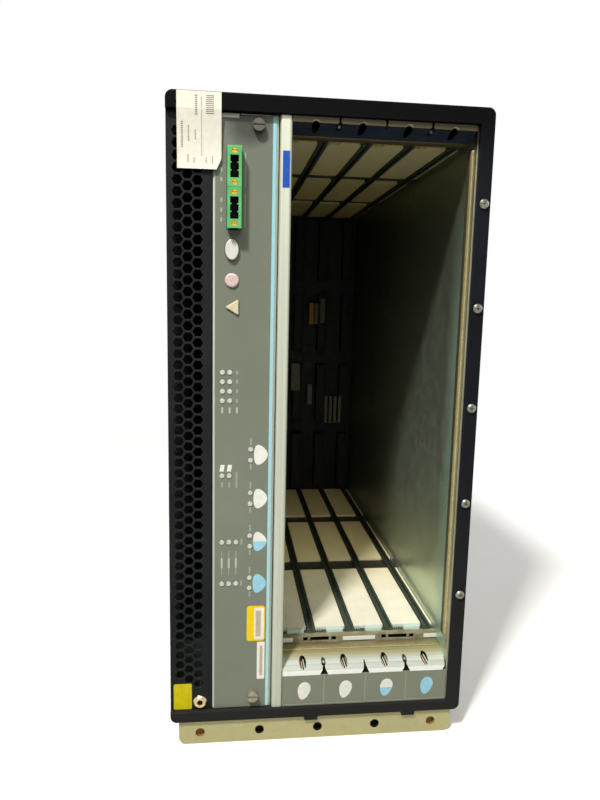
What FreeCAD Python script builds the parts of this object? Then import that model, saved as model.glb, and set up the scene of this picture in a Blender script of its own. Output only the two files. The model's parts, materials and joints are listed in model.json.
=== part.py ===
import FreeCAD, Part
import math
import os

# Router chassis of five rack units, standing on its fan side.
# X runs across (top cover to base pan), Y runs into the depth, Z runs up (fan side to filter side).
# While it is built, Y is measured from the front rim of the bezel. Millimetres throughout.

# Body
BODY_WIDTH = 221.2
BODY_HEIGHT = 442.2
BODY_DEPTH = 622.0
SHEET = 1.5
ANGLE_LEG = 12.0
TOUCH_GAP = 0.3

# Rack ear and the wall fixings it uses
EAR_DROP = 19.8
EAR_SETBACK = 2.5
EAR_WIDTH = 209.0
EAR_SHEET = 2.5
EAR_LEG_DEPTH = 62.0
EAR_CORNER = 6.0
EAR_HOLE_RADIUS = 3.4
EAR_HOLE_PITCH = 44.45
EAR_HOLE_COUNT = 5
EAR_HOLE_HEIGHT = 9.0
EAR_SCREW_PITCH = 80.0
EAR_SCREW_ROWS = (24.0, 48.0)
EAR_SCREW_RADIUS = 2.0
EAR_TAP_RADIUS = 1.65
EAR_SCREW_HEAD_RADIUS = 4.0
EAR_SCREW_HEAD_HEIGHT = 2.2
SCREW_CLEARANCE = 0.2

# Front bezel
BEZEL_DEPTH = 10.0
BEZEL_LEDGE = 4.0
BEZEL_OVERHANG = 1.0
BEZEL_RIM_TOP = 11.2
BEZEL_RIM_BOTTOM = 8.1
BEZEL_RIM_RIGHT = 10.1
BEZEL_LEFT_LEDGE = 3.0
BEZEL_END_LEDGE = 14.0
BEZEL_CORNER = 5.0
BEZEL_EDGE = 1.2
BEZEL_TAB_PLACES = (-5.5, 70.0)
BEZEL_TAB_SIZE = (10.0, 2.2, 2.6)
BEZEL_SCREW_COUNT = 5
BEZEL_SCREW_PITCH = 71.4
BEZEL_SCREW_INSET = 5.2
BEZEL_SCREW_RADIUS = 1.9
BEZEL_SCREW_HEAD_RADIUS = 3.3
BEZEL_SCREW_HEAD_HEIGHT = 1.8

# Plates that lie on the bezel ledge
PLATE_SHEET = 2.0
PLATE_END_GAP = 0.5
PLATE_SIDE_GAP = 0.4

# Intake grille
GRILLE_HOLE_FLATS = 6.2
GRILLE_PITCH = 7.67
GRILLE_MARGIN = 7.2
GRILLE_BLANK_BOTTOM = 20.2
GRILLE_BLANK_TOP = 3.0

# Wrist-strap jack
JACK_INSET = 8.4
JACK_RISE = 6.0
JACK_FLANGE_RADIUS = 5.0
JACK_FLANGE_HEIGHT = 2.0
JACK_BARREL_RADIUS = 3.8
JACK_BORE_RADIUS = 2.1
JACK_LENGTH = 22.0
JACK_BORE_DEPTH = 16.0

# Craft panel and what it carries; places are given from its left edge and from its top or bottom end
CRAFT_WIDTH = 43.7
CRAFT_BEVEL = 1.6
CRAFT_SEAM = 0.7
CRAFT_CUT_GAP = 0.3
BOARD_SHEET = 1.6
BOARD_MARGIN = 2.0
BOARD_END_MARGIN = 16.0
STANDOFF_RADIUS = 2.5
CONNECTOR_WIDTH = 9.4
CONNECTOR_HEIGHT = 25.9
CONNECTOR_PITCH = 26.1
CONNECTOR_ACROSS = 14.4
CONNECTOR_FROM_TOP = 35.1
CONNECTOR_PROUD = 9.0
CONNECTOR_POLES = 3
CONNECTOR_POLE_PITCH = 5.0
CONNECTOR_SOCKET = (5.6, 8.0, 4.2)
CONNECTOR_CHANNEL = 3.8
CONNECTOR_SCREW_RADIUS = 1.7
CONNECTOR_SCREW_HEIGHT = 5.0
CONNECTOR_SCREW_INSET = 3.0
BUTTON_SIZE = (9.2, 14.0)
BUTTON_ACROSS = 13.0
BUTTON_FROM_TOP = 87.5
BUTTON_PROUD = 2.6
BUTTON_TRAVEL = 1.0
BUTTON_FLANGE = 1.2
BUTTON_FLANGE_HEIGHT = 0.9
BUTTON_STEM_RADIUS = 1.6
SWITCH_SIZE = 7.0
LENS_ACROSS = 13.1
LENS_PROUD = 1.6
ROUND_LENS_RADIUS = 4.9
ROUND_LENS_FROM_TOP = 107.9
TRIANGLE_LENS_SIZE = (9.5, 11.4)
TRIANGLE_LENS_CORNER = 0.8
TRIANGLE_LENS_FROM_TOP = 125.9
LAMP_RADIUS = 1.7
LAMP_PROUD = 0.5
LAMP_GAP = 0.1
LAMP_COLUMNS = (6.9, 12.0, 17.1)
LAMP_GRID_RISE = 233.4
LAMP_GRID_PITCH = 6.65
LAMP_GRID_ROWS = 4
LAMP_FAN_RISE = 179.5
LAMP_HOST_RISES = (98.4, 130.1)
LAMP_SLOT_ACROSS = 27.0
LAMP_SLOT_RISE = 98.7
LAMP_SLOT_PITCH = 32.0
LAMP_SLOT_SPREAD = 4.0
CAPTIVE_HEAD_RADIUS = 4.0
CAPTIVE_HEAD_HEIGHT = 4.4
CAPTIVE_SHANK_RADIUS = 1.8
CAPTIVE_SLOT = (0.9, 1.2)
CAPTIVE_FROM_RIGHT = 13.5
CAPTIVE_INSETS = (10.0, 7.4)

# Card cage
SLOTS = 4
SLOT_PITCH = 31.75
BASE_GAP = 11.3
CAGE_DEPTH = 429.0
FAN_BAY = 45.1
FILTER_BAY = 13.5
BASE_PANEL_SHEET = 1.2
BASE_PANEL_FRONT = 3.0
BASE_FLANGE_MARGIN = 16.0
NOSE_WIDTH = 8.1
NOSE_DEPTH = 12.0
NOSE_FRONT = 2.0
NOSE_ROUND = 1.8
CAGE_END_GAP = 0.3

# Slot rails, extruded along X
RAIL_DEPTH = 30.0
RAIL_FRONT = 2.0
RAIL_NOSE_HEIGHT = 3.5
RAIL_SLOPE_RISE = 6.5
RAIL_SLOPE_DEPTH = 14.0
FAN_RAIL_STEP = 6.0
FILTER_RAIL_STEP = 2.0
FILTER_RAIL_NOSE_HEIGHT = 4.0
FILTER_RAIL_SLOPE_RISE = 4.0
FILTER_RAIL_SLOPE_DEPTH = 18.0
RAIL_SCREW_RADIUS = 2.6
RAIL_SCREW_WALL = 0.8
RAIL_SCREW_DEPTH = 25.0
RAIL_PIN_RADIUS = 1.7
RAIL_NOTCH_WIDTH = 6.4
FILTER_RAIL_NOTCH_WIDTH = 1.8
RAIL_NOTCH_HEIGHT = 5.5
RAIL_NOTCH_DEPTH = 7.0
RAIL_SLIT = 1.0
LABEL_SHEET = 1.0
GASKET_THICKNESS = 1.5
GASKET_WIDTH = 10.0
GASKET_FRONT = 8.0
GASKET_END_MARGIN = 9.0
BAY_SLOT_HEIGHT = 3.4
BAY_SLOT_LONG = 15.0
BAY_SLOT_SHORT = 3.6
BAY_SLOT_SPREAD = 11.4
BAY_SLOT_DROP = 0.8
BAY_CONTACT_LENGTH = 26.4
BAY_CONTACT_END = 10.4
BAY_CONTACT_SHEET = 0.6

# Vent screens and card guides on both cage walls
VENT_ROWS = 3
VENT_FRONT = 40.0
VENT_BACK = 2.0
VENT_BAR = 25.2
SCREEN_SIDE_GAP = 0.6
SCREEN_THICKNESS = 2.5
SCREEN_SEAT = 2.0
SCREEN_LIP_WIDTH = 14.0
SCREEN_LIP_DEPTH = 5.0
SCREEN_LIP_ROUND = 1.5
SCREEN_TOOTH_WIDTH = 1.6
SCREEN_TEETH = 3
GUIDE_WIDTH = 6.4
GUIDE_HEIGHT = 3.2
GUIDE_GROOVE = 2.4
GUIDE_GROOVE_DEPTH = 2.2
GUIDE_OFFSET = 6.2

# Midplane and slot connectors
MIDPLANE_SHEET = 4.0
SLOT_CONNECTORS = 4
SLOT_CONNECTOR_WIDTH = 13.0
SLOT_CONNECTOR_DEPTH = 16.0
SLOT_CONNECTOR_FILL = 0.8
SLOT_CONNECTOR_WALL = 1.6
SLOT_CONNECTOR_RECESS = 3.0

# Vent slots of the two side walls
WALL_SLOT_WIDTH = 6.0
WALL_SLOT_PITCH = 11.0
WALL_SLOT_MARGIN = 10.5

# Fan tray
FACE_SHEET = 2.0
TRAY_SIDE_GAP = 0.6
TRAY_FLANGE = 10.0
TRAY_FRONT_GAP = 3.5
FAN_SIZE = 118.0
FAN_SIDE_GAP = 0.2
FAN_THICKNESS = 38.0
FAN_CORNER = 5.0
FAN_BORE_RADIUS = 55.5
FAN_TIP_GAP = 1.5
FAN_MOTOR_RADIUS = 22.0
FAN_MOTOR_HEIGHT = 8.0
FAN_STRUTS = 4
FAN_STRUT_WIDTH = 6.0
FAN_STRUT_HEIGHT = 5.0
FAN_STRUT_ROOT = 1.0
HUB_RADIUS = 25.0
HUB_GAP = 0.5
HUB_TOP_GAP = 3.0
HUB_ROUND = 4.0
SHAFT_RADIUS = 3.0
SHAFT_FIT = 0.05
SHAFT_LENGTH = 6.0
BLADES = 7
BLADE_THICKNESS = 1.8
BLADE_ROOT_CHORD = 30.0
BLADE_TIP_CHORD = 36.0
BLADE_ANGLE = 36.0

# Handles and thumbscrews on the rear faces
HANDLE_REACH = 26.0
HANDLE_BAR_RADIUS = 4.0
HANDLE_BEND = 9.0
HANDLE_LENGTH = 80.0
THUMB_HEAD_RADIUS = 5.0
THUMB_HEAD_HEIGHT = 9.0
THUMB_SHANK_RADIUS = 2.0
THUMB_INSET = 5.0
THUMB_SLOT = (1.2, 1.6)

# Air filter
FILTER_TOP_GAP = 1.6
FILTER_BAR = 9.0
FILTER_MEDIA_RECESS = 1.2

# Power bays
POWER_BAYS = 4
POWER_MODULES = 2
BAY_WALL_FRONT_GAP = 9.0
BAY_LIP = 2.0
MODULE_HALF_WIDTH = 96.0
MODULE_BACK_GAP = 18.0
MODULE_FACE_GAP = 0.5
MODULE_VENT_SLOT = (4.0, 60.0, 3.0)
MODULE_VENT_PITCH = 9.0
MODULE_VENTS = 5
MODULE_VENT_CENTRE = 70.0
INLET_SIZE = (34.0, 26.0)
INLET_DEPTH = 20.0
INLET_CENTRE = -76.0
INLET_PINS = 3
INLET_PIN = (2.0, 14.0, 7.0)
INLET_PIN_PITCH = 9.0
COVER_RIB_RADIUS = 6.0
COVER_RIB_LENGTH = 120.0
GROUND_HOLE_RADIUS = 3.2
GROUND_HOLE_PITCH = 15.9
GROUND_HOLE_INSET = 30.0

# Planes that the pieces share
LEFT = -BODY_WIDTH / 2
RIGHT = BODY_WIDTH / 2
BOTTOM = EAR_DROP
TOP = EAR_DROP + BODY_HEIGHT
IN_LEFT = LEFT + SHEET
IN_RIGHT = RIGHT - SHEET
IN_BOTTOM = BOTTOM + SHEET
IN_TOP = TOP - SHEET
IN_REAR = BODY_DEPTH - SHEET
BEZEL_BOTTOM = BOTTOM - BEZEL_OVERHANG
BEZEL_TOP = TOP + BEZEL_OVERHANG
RIM_BOTTOM = BEZEL_BOTTOM + BEZEL_RIM_BOTTOM
RIM_TOP = BEZEL_TOP - BEZEL_RIM_TOP
RIM_RIGHT = RIGHT - BEZEL_RIM_RIGHT
LEDGE_Y = BEZEL_DEPTH - BEZEL_LEDGE
PLATE_FACE = LEDGE_Y - PLATE_SHEET
PLATE_BOTTOM = RIM_BOTTOM + PLATE_END_GAP
PLATE_TOP = RIM_TOP - PLATE_END_GAP
CAGE_RIGHT = RIGHT - BASE_GAP
CAGE_LEFT = CAGE_RIGHT - SLOTS * SLOT_PITCH
CAGE_MIDDLE = (CAGE_LEFT + CAGE_RIGHT) / 2
NOSE_LEFT = CAGE_LEFT - NOSE_WIDTH
CRAFT_RIGHT = NOSE_LEFT - CRAFT_SEAM
CRAFT_LEFT = CRAFT_RIGHT - CRAFT_WIDTH
GRILLE_RIGHT = CRAFT_LEFT - PLATE_SIDE_GAP
FLOOR = IN_BOTTOM + FAN_BAY + SHEET
CEILING = IN_TOP - FILTER_BAY - SHEET
CAGE_BOTTOM = RIM_BOTTOM + CAGE_END_GAP
CAGE_TOP = RIM_TOP - PLATE_END_GAP
CAGE_BACK = CAGE_DEPTH + MIDPLANE_SHEET
BOARD_FRONT = BEZEL_DEPTH + TOUCH_GAP
ROW_LENGTH = (CAGE_DEPTH - VENT_BACK - VENT_FRONT - (VENT_ROWS - 1) * VENT_BAR) / VENT_ROWS
ANGLE_UPRIGHT = FILTER_BAY - TOUCH_GAP
TRAY_HALF = IN_RIGHT - ANGLE_LEG - TRAY_SIDE_GAP
TRAY_FRONT = RAIL_DEPTH + SHEET + TRAY_FRONT_GAP
TRAY_BOTTOM = IN_BOTTOM + TOUCH_GAP
FAN_BOTTOM = TRAY_BOTTOM + SHEET
FAN_X = TRAY_HALF - SHEET - FAN_SIDE_GAP - FAN_SIZE / 2
FILTER_BOTTOM = CEILING + SHEET + TOUCH_GAP
FILTER_THICKNESS = FILTER_BAY - TOUCH_GAP - FILTER_TOP_GAP
FACE_BACK = BODY_DEPTH + FACE_SHEET
BAY_CLEAR = (CEILING - FLOOR - (POWER_BAYS - 1) * SHEET) / POWER_BAYS
BAY_FRONT = CAGE_BACK + BAY_WALL_FRONT_GAP
FRONT_MOST = PLATE_FACE - CONNECTOR_PROUD
REAR_MOST = FACE_BACK + HANDLE_REACH
MID_Y = (FRONT_MOST + REAR_MOST) / 2


def box(x, y, z):
    """Block between pairs of limits along X, Y and Z."""
    size = [limits[1] - limits[0] for limits in (x, y, z)]
    return Part.makeBox(*size, FreeCAD.Vector(x[0], y[0], z[0]))


def rod(x, z, radius, y):
    """Round bar along Y."""
    return Part.makeCylinder(radius, y[1] - y[0], FreeCAD.Vector(x, y[0], z), FreeCAD.Vector(0, 1, 0))


def post(x, y, radius, z):
    """Round bar along Z."""
    return Part.makeCylinder(radius, z[1] - z[0], FreeCAD.Vector(x, y, z[0]))


def closed_face(corners):
    """Flat face inside a closed run of straight edges."""
    return Part.Face(Part.makePolygon(corners + [corners[0]]))


def along_x(profile, x):
    """Extrude a (y, z) profile along X."""
    face = closed_face([FreeCAD.Vector(x[0], y, z) for y, z in profile])
    return face.extrude(FreeCAD.Vector(x[1] - x[0], 0, 0))


def along_y(profile, y):
    """Extrude an (x, z) profile along Y."""
    face = closed_face([FreeCAD.Vector(x, y[0], z) for x, z in profile])
    return face.extrude(FreeCAD.Vector(0, y[1] - y[0], 0))


def edges_along(shape, axis, keep):
    """Straight edges parallel to an axis whose middle point passes a test."""
    found = []
    for edge in shape.Edges:
        if isinstance(edge.Curve, Part.Line) and abs(edge.tangentAt(edge.FirstParameter).dot(axis)) > 0.999:
            if keep(edge.CenterOfMass):
                found.append(edge)
    return found


X_AXIS = FreeCAD.Vector(1, 0, 0)
Y_AXIS = FreeCAD.Vector(0, 1, 0)
Z_AXIS = FreeCAD.Vector(0, 0, 1)


def everywhere(point):
    """Edge test that keeps every edge."""
    return True


def slotted_head(x, z, head_radius, y, slot, shank):
    """Screw along Y with a slotted round head; y is the head's front and seat, shank its radius and end."""
    width, depth = slot
    head = rod(x, z, head_radius, y)
    groove = box((x - head_radius, x + head_radius), (y[0], y[0] + depth), (z - width / 2, z + width / 2))
    return head.cut(groove).fuse(rod(x, z, shank[0], (y[1], shank[1]))).removeSplitter()


def thumbscrew(x, z, depth):
    """Slotted thumbscrew on a rear face, reaching a depth into the chassis."""
    width, slot_depth = THUMB_SLOT
    back = FACE_BACK + THUMB_HEAD_HEIGHT
    head = rod(x, z, THUMB_HEAD_RADIUS, (FACE_BACK, back))
    reach = (x - THUMB_HEAD_RADIUS, x + THUMB_HEAD_RADIUS)
    groove = box(reach, (back - slot_depth, back), (z - width / 2, z + width / 2))
    shank = rod(x, z, THUMB_SHANK_RADIUS, (FACE_BACK - depth, FACE_BACK))
    return head.cut(groove).fuse(shank).removeSplitter()


def thumb_hole(x, z, y):
    """Clearance hole for a thumbscrew's shank."""
    return rod(x, z, THUMB_SHANK_RADIUS + SCREW_CLEARANCE, y)


def ear_screw_places():
    """X and Y of the screws that hold an ear's leg to a side wall."""
    return [(column * EAR_SCREW_PITCH, BEZEL_DEPTH + row) for column in (-1, 0, 1) for row in EAR_SCREW_ROWS]


def vent_rows():
    """Front and back of each row of vent screens."""
    step = ROW_LENGTH + VENT_BAR
    return [(VENT_FRONT + row * step, VENT_FRONT + row * step + ROW_LENGTH) for row in range(VENT_ROWS)]


def slot_left(slot):
    """Left boundary of a card slot; the count of slots gives the right end."""
    return CAGE_LEFT + slot * SLOT_PITCH


def slot_middle(slot):
    """Middle of a card slot."""
    return slot_left(slot) + SLOT_PITCH / 2


def guide_middle(slot):
    """Middle of a card slot's guide, a little to the left of the slot's right boundary."""
    return slot_left(slot + 1) - GUIDE_OFFSET


def screen_limits(column):
    """Left and right of a column of vent screens; the last column is the strip beside the base panel."""
    reach = GUIDE_WIDTH / 2 + SCREEN_SIDE_GAP
    left = max(guide_middle(column - 1) + reach, CAGE_LEFT + SCREEN_SIDE_GAP)
    right = min(guide_middle(column) - reach, CAGE_RIGHT - SCREEN_SIDE_GAP)
    return left, right


def wall_vents(z):
    """Long vent slots across the card cage, row by row, for a side wall; none lies under an ear's leg."""
    half = (CAGE_RIGHT - CAGE_LEFT) / 2 - WALL_SLOT_MARGIN
    clear_of_ear = BEZEL_DEPTH + EAR_LEG_DEPTH + WALL_SLOT_MARGIN
    cuts = []
    for front, back in vent_rows():
        start = max(front, clear_of_ear)
        count = int((back - start) / WALL_SLOT_PITCH)
        first = (start + back - (count - 1) * WALL_SLOT_PITCH) / 2
        for index in range(count):
            middle = first + index * WALL_SLOT_PITCH
            y = (middle - WALL_SLOT_WIDTH / 2, middle + WALL_SLOT_WIDTH / 2)
            cuts.append(box((CAGE_MIDDLE - half, CAGE_MIDDLE + half), y, z))
    return cuts


def side_wall(z, hole_radius):
    """Outer side wall with vent slots and the holes that take an ear."""
    plate = box((LEFT, RIGHT), (BEZEL_DEPTH, BODY_DEPTH), z)
    holes = [post(x, y, hole_radius, z) for x, y in ear_screw_places()]
    return plate.cut(wall_vents(z) + holes)


def cover(x):
    """Plain outer sheet between the two side walls."""
    return box(x, (BEZEL_DEPTH, BODY_DEPTH), (IN_BOTTOM, IN_TOP))


def top_cover():
    """Cover on the grille side, with two holes for a ground lug near its rear edge."""
    low, high = bay_limits(POWER_BAYS - 1)
    holes = []
    for side in (-1, 1):
        z = (low + high + side * GROUND_HOLE_PITCH) / 2
        start = FreeCAD.Vector(LEFT, BODY_DEPTH - GROUND_HOLE_INSET, z)
        holes.append(Part.makeCylinder(GROUND_HOLE_RADIUS, SHEET, start, X_AXIS))
    return cover((LEFT, IN_LEFT)).cut(holes)


def corner_angles():
    """Four angle sections that tie the covers to the side walls."""
    y = (RAIL_DEPTH + SHEET, IN_REAR)
    angles = []
    for side in (-1, 1):
        for end, inward in ((IN_BOTTOM, 1), (IN_TOP, -1)):
            wall = side * IN_RIGHT
            profile = [
                (wall, end),
                (wall - side * ANGLE_LEG, end),
                (wall - side * ANGLE_LEG, end + inward * SHEET),
                (wall - side * SHEET, end + inward * SHEET),
                (wall - side * SHEET, end + inward * ANGLE_UPRIGHT),
                (wall, end + inward * ANGLE_UPRIGHT),
            ]
            angles.append(along_y(profile, y))
    return angles


def bay_limits(bay):
    """Z limits of a power bay between its walls."""
    low = FLOOR + bay * (BAY_CLEAR + SHEET)
    return low, low + BAY_CLEAR


def rear_thumb_places():
    """X and Z of the thumbscrews on the four power bay faces."""
    reach = IN_RIGHT - THUMB_INSET
    places = []
    for bay in range(POWER_BAYS):
        low, high = bay_limits(bay)
        places.append([(side * reach, (low + high) / 2) for side in (-1, 1)])
    return places


def tray_thumb_places():
    """X and Z of the fan tray's thumbscrews."""
    return [(side * (IN_RIGHT - THUMB_INSET), IN_BOTTOM + FAN_BAY / 2) for side in (-1, 1)]


def filter_thumb_places():
    """X and Z of the air filter's thumbscrews."""
    return [(side * (IN_RIGHT - THUMB_INSET), CEILING + SHEET + FILTER_BAY / 2) for side in (-1, 1)]


def rear_panel():
    """Rear panel with the openings for the tray, the filter and the power modules."""
    y = (IN_REAR, BODY_DEPTH)
    panel = box((IN_LEFT, IN_RIGHT), y, (IN_BOTTOM, IN_TOP))
    mouth = TRAY_HALF + TOUCH_GAP
    cuts = [box((-mouth, mouth), y, (IN_BOTTOM, FLOOR - SHEET))]
    cuts.append(box((-mouth, mouth), y, (CEILING + SHEET, IN_TOP)))
    wide = MODULE_HALF_WIDTH + TOUCH_GAP
    for bay in range(POWER_BAYS):
        low, high = bay_limits(bay)
        cuts.append(box((-wide, wide), y, (low + BAY_LIP, high - BAY_LIP)))
    places = tray_thumb_places() + filter_thumb_places()
    for pair in rear_thumb_places():
        places += pair
    cuts += [thumb_hole(x, z, y) for x, z in places]
    return panel.cut(cuts)


def divider_plate():
    """Sheet between the card cage and the air plenum, with a thick rounded front edge."""
    inner = CAGE_LEFT - SHEET
    nose = box((NOSE_LEFT, CAGE_LEFT), (NOSE_FRONT, NOSE_FRONT + NOSE_DEPTH), (CAGE_BOTTOM, CAGE_TOP))

    def on_front(point):
        return abs(point.y - NOSE_FRONT) < TOUCH_GAP

    nose = nose.makeFillet(NOSE_ROUND, edges_along(nose, Z_AXIS, on_front))
    web = box((inner, CAGE_LEFT), (NOSE_FRONT + NOSE_DEPTH, RAIL_DEPTH), (CAGE_BOTTOM, CAGE_TOP))
    sheet = box((inner, CAGE_LEFT), (RAIL_DEPTH, CAGE_BACK), (FLOOR, CEILING))
    return nose.fuse([web, sheet]).removeSplitter()


def cage_base_panel():
    """Plain sheet on the base side of the card cage, with a flange that takes the bezel screws."""
    x = (CAGE_RIGHT, CAGE_RIGHT + BASE_PANEL_SHEET)
    front = box(x, (BASE_PANEL_FRONT, RAIL_DEPTH), (CAGE_BOTTOM, CAGE_TOP))
    sheet = box(x, (RAIL_DEPTH, CAGE_BACK), (FLOOR, CEILING))
    flange_z = (FLOOR + BASE_FLANGE_MARGIN, CEILING - BASE_FLANGE_MARGIN)
    flange_y = (BEZEL_DEPTH, BEZEL_DEPTH + BASE_PANEL_SHEET)
    flange = box((x[1], IN_RIGHT), flange_y, flange_z)
    holes = [rod(px, pz, BEZEL_SCREW_RADIUS + SCREW_CLEARANCE, flange_y) for px, pz in bezel_screw_places()]
    return front.fuse([sheet, flange]).removeSplitter().cut(holes)


def screen_windows(z):
    """Windows under the vent screens of a cage wall."""
    cuts = []
    for front, back in vent_rows():
        y = (front + SCREEN_SEAT, back - SCREEN_SEAT)
        for slot in range(SLOTS):
            left, right = screen_limits(slot)
            cuts.append(box((left + SCREEN_SEAT, right - SCREEN_SEAT), y, z))
    return cuts


def cage_wall(z, front):
    """Wall between the card cage and a side bay."""
    plate = box((IN_LEFT, IN_RIGHT), (front, IN_REAR), z)
    return plate.cut(screen_windows(z))


def fan_bay_front():
    """Upright sheet behind the fan-side rail, slotted between the first and the last pair of card slots."""
    y = (RAIL_DEPTH, RAIL_DEPTH + SHEET)
    sheet = box((IN_LEFT, IN_RIGHT), y, (IN_BOTTOM, FLOOR))
    z = (FLOOR - BAY_SLOT_DROP - BAY_SLOT_HEIGHT, FLOOR - BAY_SLOT_DROP)
    cuts = []
    for slot in range(1, SLOTS, 2):
        x = slot_left(slot)
        cuts.append(box((x - BAY_SLOT_LONG / 2, x + BAY_SLOT_LONG / 2), y, z))
        for side in (-1, 1):
            edge = x + side * BAY_SLOT_SPREAD
            cuts.append(box((edge - BAY_SLOT_SHORT / 2, edge + BAY_SLOT_SHORT / 2), y, z))
    return sheet.cut(cuts)


def step_contacts():
    """Earthing strips on the step behind the fan-side rail, at the cage's ends and its middle."""
    y = (RAIL_DEPTH - BAY_CONTACT_SHEET, RAIL_DEPTH)
    z = (FLOOR - BAY_SLOT_DROP - BAY_SLOT_HEIGHT, FLOOR - BAY_SLOT_DROP)
    contacts = [box((CAGE_LEFT, CAGE_LEFT + BAY_CONTACT_END), y, z)]
    for slot in range(2, SLOTS, 2):
        x = slot_left(slot)
        contacts.append(box((x - BAY_CONTACT_LENGTH / 2, x + BAY_CONTACT_LENGTH / 2), y, z))
    contacts.append(box((CAGE_RIGHT - BAY_CONTACT_END, CAGE_RIGHT), y, z))
    return contacts


def vent_screens(seat, inward):
    """Screens over a cage wall's windows and a strip along its edge; the front row has a lip and teeth."""
    far = seat + inward * SCREEN_THICKNESS
    z = (min(seat, far), max(seat, far))
    screens = []
    for row, y in enumerate(vent_rows()):
        for column in range(SLOTS + 1):
            left, right = screen_limits(column)
            screen = box((left, right), y, z)
            if row == 0 and column < SLOTS:
                lip_x = (right - SCREEN_TOOTH_WIDTH - SCREEN_LIP_WIDTH, right - SCREEN_TOOTH_WIDTH)
                lip = box(lip_x, (y[0] - SCREEN_LIP_DEPTH, y[0]), z)

                def on_front(point, front=y[0] - SCREEN_LIP_DEPTH):
                    return abs(point.y - front) < TOUCH_GAP

                lip = lip.makeFillet(SCREEN_LIP_ROUND, edges_along(lip, Z_AXIS, on_front))
                extras = [lip]
                for tooth in range(SCREEN_TEETH):
                    start = left + SCREEN_TOOTH_WIDTH * (1 + 2 * tooth) / 2
                    tooth_y = (y[0] - SCREEN_TOOTH_WIDTH, y[0])
                    extras.append(box((start, start + SCREEN_TOOTH_WIDTH / 2), tooth_y, z))
                screen = screen.fuse(extras).removeSplitter()
            screens.append(screen)
    return screens


def card_guides(seat, inward):
    """Grooved guides of a cage wall, one for each card slot."""
    y = (VENT_FRONT - SCREEN_LIP_DEPTH, CAGE_DEPTH - SLOT_CONNECTOR_DEPTH - VENT_BACK)
    half = GUIDE_WIDTH / 2
    groove = GUIDE_GROOVE / 2
    guides = []
    for slot in range(SLOTS):
        x = guide_middle(slot)
        profile = [
            (x - half, seat),
            (x - half, seat + inward * GUIDE_HEIGHT),
            (x - groove, seat + inward * GUIDE_HEIGHT),
            (x - groove, seat + inward * (GUIDE_HEIGHT - GUIDE_GROOVE_DEPTH)),
            (x + groove, seat + inward * (GUIDE_HEIGHT - GUIDE_GROOVE_DEPTH)),
            (x + groove, seat + inward * GUIDE_HEIGHT),
            (x + half, seat + inward * GUIDE_HEIGHT),
            (x + half, seat),
        ]
        guides.append(along_y(profile, y))
    return guides


def rail_cuts(nose, slope, screw_z, inward, notch):
    """Notches, slits and holes of a slot rail; nose and slope are its Z limits from front to back."""
    top = slope + inward * RAIL_SCREW_RADIUS
    cuts = []
    for slot in range(SLOTS):
        screw_y = (RAIL_FRONT, RAIL_SCREW_DEPTH)
        cuts.append(rod(slot_middle(slot), screw_z, RAIL_SCREW_RADIUS, screw_y))
    for slot in range(1, SLOTS + 1):
        x = slot_left(slot)
        waist = nose + inward * RAIL_NOTCH_HEIGHT
        wedge = [
            (x - notch / 2, nose),
            (x - RAIL_SLIT / 2, waist),
            (x - RAIL_SLIT / 2, top),
            (x + RAIL_SLIT / 2, top),
            (x + RAIL_SLIT / 2, waist),
            (x + notch / 2, nose),
        ]
        cuts.append(along_y(wedge, (RAIL_FRONT, RAIL_FRONT + RAIL_NOTCH_DEPTH)))
        if slot % 2:
            cuts.append(rod(x, screw_z, RAIL_PIN_RADIUS, (RAIL_FRONT, RAIL_SCREW_DEPTH)))
    return cuts


def fan_side_slot_rail():
    """Slot rail on the fan side: label face, nose, sloped screw face and gasket seat."""
    seat = FLOOR - FAN_RAIL_STEP
    nose = seat - RAIL_SLOPE_RISE - RAIL_NOSE_HEIGHT
    behind = BEZEL_DEPTH + TOUCH_GAP
    profile = [
        (RAIL_FRONT + LABEL_SHEET, CAGE_BOTTOM),
        (RAIL_FRONT + LABEL_SHEET, nose),
        (RAIL_FRONT, nose),
        (RAIL_FRONT, nose + RAIL_NOSE_HEIGHT),
        (RAIL_FRONT + RAIL_SLOPE_DEPTH, seat),
        (RAIL_DEPTH, seat),
        (RAIL_DEPTH, IN_BOTTOM),
        (behind, IN_BOTTOM),
        (behind, CAGE_BOTTOM),
    ]
    rail = along_x(profile, (CAGE_LEFT, CAGE_RIGHT))
    screw_z = seat - RAIL_SCREW_RADIUS - RAIL_SCREW_WALL
    return rail.cut(rail_cuts(nose, seat, screw_z, 1, RAIL_NOTCH_WIDTH))


def filter_side_slot_rail():
    """Slot rail on the filter side: nose, sloped screw face and gasket seat."""
    seat = CEILING - FILTER_RAIL_STEP
    nose = seat + FILTER_RAIL_SLOPE_RISE + FILTER_RAIL_NOSE_HEIGHT
    behind = BEZEL_DEPTH + TOUCH_GAP
    profile = [
        (RAIL_FRONT, nose),
        (RAIL_FRONT, nose - FILTER_RAIL_NOSE_HEIGHT),
        (RAIL_FRONT + FILTER_RAIL_SLOPE_DEPTH, seat),
        (RAIL_DEPTH, seat),
        (RAIL_DEPTH, IN_TOP),
        (behind, IN_TOP),
        (behind, nose),
    ]
    rail = along_x(profile, (CAGE_LEFT, CAGE_RIGHT))
    screw_z = seat + RAIL_SCREW_RADIUS + RAIL_SCREW_WALL
    return rail.cut(rail_cuts(nose, seat, screw_z, -1, FILTER_RAIL_NOTCH_WIDTH))


def slot_label_strip():
    """Label strip on the face of the fan-side rail."""
    nose = FLOOR - FAN_RAIL_STEP - RAIL_SLOPE_RISE - RAIL_NOSE_HEIGHT
    y = (RAIL_FRONT, RAIL_FRONT + LABEL_SHEET)
    return box((CAGE_LEFT, CAGE_RIGHT), y, (CAGE_BOTTOM, nose))


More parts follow.
